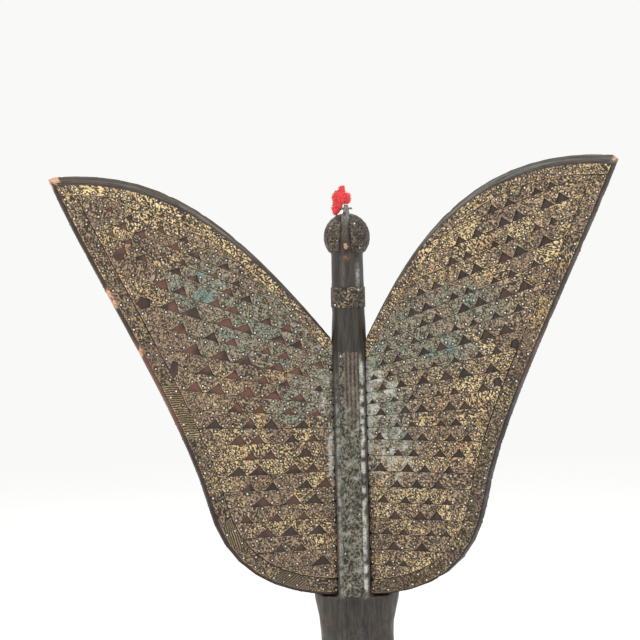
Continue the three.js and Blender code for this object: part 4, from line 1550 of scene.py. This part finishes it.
@dataclass
class CarvedBird:
    """Body, neck, head, crest, beak, legs, tail and plinth, carved from one log.

    The spots lie along X and Z on its back, and the sheets' spans along Z.
    """

    HOLE = patches((1.5, 949, 2.5, 3.5))
    # Painted highlight on the neck, laid in the crust's grey.
    SHEEN = patches((-18, 847, 3, 20, 0.66), (6, 850, 2, 40, 0.14))
    CRACKS = patches((0, 912, 2.2, 13, 0.6), (4, 850, 2, 25, 0.35))
    CHIPS = patches((0, 896, 4.6, 6.5), (1, 877, 8, 5))
    BACK_SHEET = (0.31, 0.73)
    NECK_BAND = (0.79, 0.835)

    wood: bpy.types.Material
    cell: float = 3.3 * MM
    scoop: float = 15 * MM
    scoop_depth: float = 0.8
    scrape: float = 7 * MM
    scrape_depth: float = 0.35
    hole_depth: float = 3 * MM

    def build(self) -> bpy.types.Object:
        """Make the carved wood with the marks of the tools."""
        mesh = remeshed("carved_bird", "carved_bird_wood", cell_of(self.cell), 3)
        spots, normals = spots_of(mesh), normals_of(mesh)
        scoops = tool_marks(spots, self.scoop, 2.4, 3) * self.scoop_depth
        scrapes = tool_marks(spots, self.scrape, 3.5, 4) * self.scrape_depth
        neck = smoothstep(0.76, 0.80, spots[:, 2])
        marks = (scoops * (1 - neck) + scrapes - self.scrape_depth) * MM
        waves = NOISE.at(spots, 60 * MM) * 0.5 * MM
        spots += normals * ((marks + waves) * (1 - self._clad(spots)))[:, None]
        pierced = total_share(self.HOLE, spots[:, 0], spots[:, 2]) * (normals[:, 1] > 0.4)
        spots[:, 1] -= pierced * self.hole_depth
        spots[:, 2] = np.maximum(spots[:, 2], 0)
        move_spots(mesh, spots)
        self._paint(mesh, spots)
        return kept(shown(mesh, self.wood), "dark_wood", "carved_bird")

    def _clad(self, spots: np.ndarray) -> np.ndarray:
        """Where sheet metal lies on the bird, so that the wood keeps its form."""
        x, y, z = spots.T
        low, high = self.BACK_SHEET
        panel = (np.abs(x) < 22 * MM) & (y > 12 * MM) & (z > low) & (z < high)
        low, high = self.NECK_BAND
        band = (z > low) & (z < high) & (y > -35 * MM)
        return (panel | band).astype(float)

    def _paint(self, mesh: bpy.types.Mesh, spots: np.ndarray) -> None:
        """Paint hollows, worn ridges, crusted grooves, reddish wear and a painted highlight on the neck."""
        hollow = hollows_of(mesh, spots)
        x, y, z = spots.T
        ragged = np.abs(x) + 2.2 * MM * NOISE.at(spots + 7, 13 * MM)
        groove = smoothstep(15 * MM, 17 * MM, ragged) * smoothstep(25 * MM, 22 * MM, ragged)
        groove *= smoothstep(10 * MM, 14 * MM, y)
        groove *= smoothstep(0.31, 0.33, z) * smoothstep(0.725, 0.70, z)
        fine = NOISE.at(spots, 10 * MM) + 0.5 * NOISE.at(spots + 4, 4 * MM)
        thick = np.where(x < 0, 0.95, 0.5 * smoothstep(0.72, 0.62, z))
        crust = groove * smoothstep(-0.6, 0.4, fine) * thick
        behind = smoothstep(0, 4 * MM, y)
        # Painted highlight: pale streaks on the back of the neck stand in for light on a shiny facet.
        painted_sheen = summed_share(self.SHEEN, x, z) * behind
        # The tab's grey stops at the hole, which keeps the dark wood colour as painted shade inside it.
        tab = smoothstep(0.925, 0.945, z) * 0.34 * (1 - total_share(self.HOLE, x, z))
        aged = NOISE.at(spots, 42 * MM) + 0.3 * fine
        red = smoothstep(0.1, 0.9, aged) * 0.4 * smoothstep(0.72, 0.64, z)
        cracks = summed_share(self.CRACKS, x, z) * behind
        deep, shallow = (
            smoothstep(0.3, 0.6, chip.share(x, z) + 0.3 * fine) * behind for chip in self.CHIPS
        )
        red = np.maximum.reduce([red, cracks, deep, 0.74 * shallow])
        # Grey holds the crust, the crest tab's tone and the painted highlight.
        grey = np.maximum.reduce([crust, painted_sheen, tab])
        channels = (smoothstep(0.02, 0.16, hollow), smoothstep(-0.03, -0.2, hollow), grey, red)
        paint(mesh, "carving", channels)


@dataclass
class BodyMetal:
    """The sheet down the back, the band round the neck and the plates on the head."""

    brass: bpy.types.Material
    nail: bpy.types.Material
    cell: float = 2.4 * MM
    halvings: int = 5
    relief: float = 0.3 * MM
    curl: float = 4.2 * MM
    flute: float = 6.6 * MM
    nailed: tuple[tuple[float, float], ...] = (
        (13, 905), (-22, 892), (24, 925), (-15, 932), (12, 715), (-13, 690), (13, 640), (-13, 585),
        (12, 520), (-13, 455), (13, 390), (-12, 335), (20, 800), (-18, 824), (-6, 799),
    )

    def build(self) -> None:
        """Make each of them from its CAD node, finely meshed and stamped, and nail them on."""
        pieces = [
            self._skin("back_sheet", 1, 1.3, 0.32),
            self._skin("neck_band", 2, 1.0, 0.4),
            self._skin("cheek_plate_left", 3, 1.0, 0.32),
            self._skin("cheek_plate_right", 4, 1.0, 0.2),
        ]
        spots = np.concatenate([spots_of(piece.data) for piece in pieces])
        normals = np.concatenate([normals_of(piece.data) for piece in pieces])
        nails = Nails("body_nails")
        for x, z in self.nailed:
            away = np.hypot(spots[:, 0] - x * MM, spots[:, 2] - z * MM)
            nearest = int(np.argmin(away + (normals[:, 1] < 0.2)))
            nails.drive(Vector(spots[nearest]), Vector(normals[nearest]))
        nails.build(self.nail)

    def _mesh(self, node: str) -> bpy.types.Mesh:
        """Mesh a node's thin shell finely: cut it into rings, then halve its long edges."""
        cell = cell_of(self.cell)
        shape = sliced(node, Matrix(), {2: cell})
        bmesh.ops.triangulate(shape, faces=shape.faces)
        for _ in range(self.halvings):
            long = [edge for edge in shape.edges if edge.calc_length() > cell]
            if not long:
                break
            bmesh.ops.subdivide_edges(shape, edges=long, cuts=1)
            wide = [face for face in shape.faces if len(face.verts) > 3]
            bmesh.ops.triangulate(shape, faces=wide)
        return mesh_from(shape, node + "_metal")

    def _skin(self, node: str, number: int, stretch: float, gold: float) -> bpy.types.Object:
        """Mesh a node's thin shell and stamp and age its front.

        Args:
            node: The CAD node that it replaces.
            number: Its number, which shifts its pattern.
            stretch: How much longer than wide the stamped curls are.
            gold: How much of the metal is rubbed bright.

        Returns:
            The piece.
        """
        mesh = self._mesh(node)
        spots, normals = spots_of(mesh), normals_of(mesh)
        x, _, z = spots.T
        outward = spots * (1, 1, 0)
        if node.startswith("cheek"):
            outward = spots - Vector((0, -6 * MM, spots.mean(0)[2]))
        front = np.einsum("ij,ij->i", normals, outward) > 0
        curls = spots / (1, 1, stretch) + number
        ridge = 1 - smoothstep(0.02, 0.3, np.abs(NOISE.at(curls, self.curl)))
        patchy = NOISE.at(spots, 14 * MM)
        bright = gold + 0.35 * patchy
        green, crust = smoothstep(0.3, 0.8, -patchy) * 0.4, np.zeros(len(spots))
        dirt = smoothstep(-0.25, 0.55, NOISE.at(spots + 6, 17 * MM)) * 0.66
        if node == "back_sheet":
            dirt *= 0.4
            bent = x + 0.8 * MM * NOISE.at(spots / (1, 1, 4), 12 * MM)
            flutes = 0.5 + 0.5 * np.cos(bent * 2 * math.pi / self.flute)
            fluted = smoothstep(0.56, 0.66, z) * smoothstep(9 * MM, 6 * MM, x)
            ridge = ridge * (1 - 0.6 * fluted) + fluted * 0.6 * flutes
            sides, foot = smoothstep(5 * MM, 9 * MM, x) * 0.8, smoothstep(0.66, 0.6, z) * 0.7
            green = np.maximum.reduce([green, sides, foot])
            limed = NOISE.at(spots + 2, 15 * MM) + 0.4 * NOISE.at(spots, 5 * MM)
            crust = smoothstep(0.1, 0.8, limed) * 0.42 * smoothstep(0.69, 0.62, z)
        elif node == "neck_band":
            dirt *= 0.6
            bright += 0.4 * np.exp(-(((x + 2 * MM) / (10 * MM)) ** 2)) - 0.08
        elif node == "cheek_plate_right":
            dirt = np.maximum(dirt, 0.3)
        spots += normals * (ridge * self.relief * front)[:, None]
        move_spots(mesh, spots)
        paint(mesh, "relief", (ridge, np.clip(bright, 0, 1), green, dirt))
        paint(mesh, "stains", (0.0, smoothstep(0.1, 0.6, patchy) * 0.4, crust, 0.5))
        return kept(shown(mesh, self.brass), "sheet_brass", node)


@dataclass
class CottonTuft:
    """A soft knot of red yarn on the crest, with the straw string that ties it."""

    KNOT = patches((8, 960, 8, 7, 3.2))

    cotton: bpy.types.Material
    cell: float = 1.0 * MM
    fibres: int = 520
    fibre_length: float = 3.6 * MM
    fibre_root: float = 0.42 * MM
    fibre_tip: float = 0.12 * MM
    string_height: float = 955 * MM

    def build(self) -> None:
        """Make the yarn and the string."""
        mesh = remeshed("cotton_tuft", "cotton_tuft_yarn", self.cell, 2)
        spots, normals = spots_of(mesh), normals_of(mesh)
        x, _, z = spots.T
        string = smoothstep(5 * MM, 4 * MM, np.abs(z - self.string_height))
        string *= smoothstep(9.5 * MM, 8 * MM, x)
        lumps = np.abs(NOISE.at(spots, 5 * MM)) * 2.6 + 0.1 + total_share(self.KNOT, x, z)
        curls = NOISE.at(spots, 2.2 * MM) * 0.5
        spots += normals * ((lumps + curls) * MM * (1 - string))[:, None]
        move_spots(mesh, spots)
        yarn = Swarm(self._fibre())
        yarn.shape.from_mesh(mesh)
        draw = np.random.default_rng(21)
        woolly = np.flatnonzero(string < 0.3)
        chosen = draw.choice(woolly, min(self.fibres, len(woolly)), replace=False)
        for index in chosen:
            lean = Vector(normals[index]) + Vector(draw.normal(size=3)) * 0.7
            size = draw.uniform(0.5, 1.2)
            turn = lean.to_track_quat("Z", "Y").to_matrix().to_4x4()
            root = Vector(spots[index]) + lean.normalized() * size * self.fibre_length * 0.3
            yarn.add(Matrix.Translation(root) @ turn @ Matrix.Diagonal((1, 1, size, 1)))
        bpy.data.meshes.remove(mesh)
        mesh = yarn.finish("cotton_tuft_yarn")
        tied = np.zeros(len(mesh.vertices))
        tied[: len(string)] = string
        paint(mesh, "string", (tied,))
        kept(shown(mesh, self.cotton, 180), "red_cotton", "cotton_tuft")

    def _fibre(self) -> bmesh.types.BMesh:
        """Make the one fibre that is copied."""
        fibre = bmesh.new()
        radii = {"radius1": self.fibre_root, "radius2": self.fibre_tip}
        bmesh.ops.create_cone(fibre, cap_ends=True, segments=3, depth=self.fibre_length, **radii)
        return fibre


# Studio

@dataclass(frozen=True)
class Studio:
    """The camera at the photograph's place, a pale floor and soft light."""

    image_side: float = 640
    focal_pixels: float = 1939.4
    distance: float = 3.2
    azimuth: float = math.radians(4)
    elevation: float = math.radians(3)
    roll: float = math.radians(-1.4)
    aim_pixel: tuple[float, float] = (349.0, 339.2)
    floor_radius: float = 14.0
    lit_point: tuple[float, float, float] = (0, 0, 0.6)

    def build(self) -> None:
        """Set up the camera, the floor and the lights."""
        self._camera()
        self._floor()
        self._lights()
        bpy.context.scene.view_settings.view_transform = "Standard"

    def _camera(self) -> None:
        """Stand behind the bird, and turn so that the neck's foot falls on its own pixel."""
        aim = Vector((0, 0, SHOULDER))
        level, rise = math.cos(self.elevation), math.sin(self.elevation)
        back = Vector((-math.sin(self.azimuth) * level, math.cos(self.azimuth) * level, rise))
        forward = -back
        right = forward.cross(Vector((0, 0, 1))).normalized()
        up = right.cross(forward)
        turn = Matrix.Rotation(-self.roll, 3, forward)
        right, up = turn @ right, turn @ up
        off_x = (self.image_side / 2 - self.aim_pixel[0]) / self.focal_pixels
        off_y = (self.image_side / 2 - self.aim_pixel[1]) / self.focal_pixels
        look = (forward + right * off_x - up * off_y).normalized()
        side = look.cross(up).normalized()
        top = side.cross(look)
        data = bpy.data.cameras.new("camera")
        data.sensor_fit = "HORIZONTAL"
        data.angle = 2 * math.atan(self.image_side / 2 / self.focal_pixels)
        camera = bpy.data.objects.new("camera", data)
        rows = [(side[i], top[i], -look[i]) for i in range(3)]
        camera.matrix_world = Matrix.Translation(aim + back * self.distance) @ Matrix(rows).to_4x4()
        bpy.context.scene.collection.objects.link(camera)
        bpy.context.scene.camera = camera

    def _floor(self) -> None:
        """Lay a wide pale disc under the bird."""
        shape = bmesh.new()
        bmesh.ops.create_circle(shape, cap_ends=True, segments=96, radius=self.floor_radius)
        floor = shown(mesh_from(shape, "floor"), PaleFloor().make())

    def _lights(self) -> None:
        """Light the bird softly from over the camera, and from the sky all round."""
        self._panel("key_light", (-1.6, 3.0, 3.4), 1.6, 52)
        self._panel("side_light", (2.6, 1.8, 1.8), 1.4, 14)
        self._panel("front_light", (0.8, -3.2, 2.6), 1.6, 24)
        world = bpy.data.worlds.new("studio")
        world.use_nodes = True
        sky = world.node_tree.nodes["Background"]
        NodeBench(world.node_tree).feed(sky, {"Color": BACKDROP, "Strength": 1.0})
        bpy.context.scene.world = world

    def _panel(self, name: str, place: tuple[float, float, float], side: float, power: float) -> None:
        """Hang a square light that looks at the bird's middle."""
        data = bpy.data.lights.new(name, "AREA")
        data.size = side
        data.energy = power
        light = bpy.data.objects.new(name, data)
        away = Vector(place) - Vector(self.lit_point)
        turn = away.to_track_quat("Z", "Y").to_matrix().to_4x4()
        light.matrix_world = Matrix.Translation(place) @ turn
        bpy.context.scene.collection.objects.link(light)


def main() -> None:
    """Build the studio, the bird, its wings and what hangs on it."""
    logging.basicConfig(level=logging.INFO, format="%(relativeCreated)d %(name)s %(message)s")
    Studio().build()
    shared = SharedEffects()
    brass = EmbossedBrass().make("embossed_brass", shared)
    handled = EmbossedBrass(
        ground="0f0c0a", middle="7f7262", gold="c9ac7c", gold_deep="8a7050", green="777d6b"
    )
    nail = NailMetal().make(shared)
    CarvedBird(DarkWood().make(shared)).build()
    woods = {
        Side.LEFT: WingWood(ground="2b211d", under="8a5947").make("wing_wood_left", shared),
        Side.RIGHT: WingWood(ground="211b19", under="5e3d31", rim="71726a").make("wing_wood_right", shared),
    }
    for side, wood in woods.items():
        CladWing(Wing(side), wood, brass, nail).build()
    BodyMetal(handled.make("handled_brass", shared), nail).build()
    CottonTuft(RedCotton().make(shared)).build()


if __name__ == "__main__":
    main()
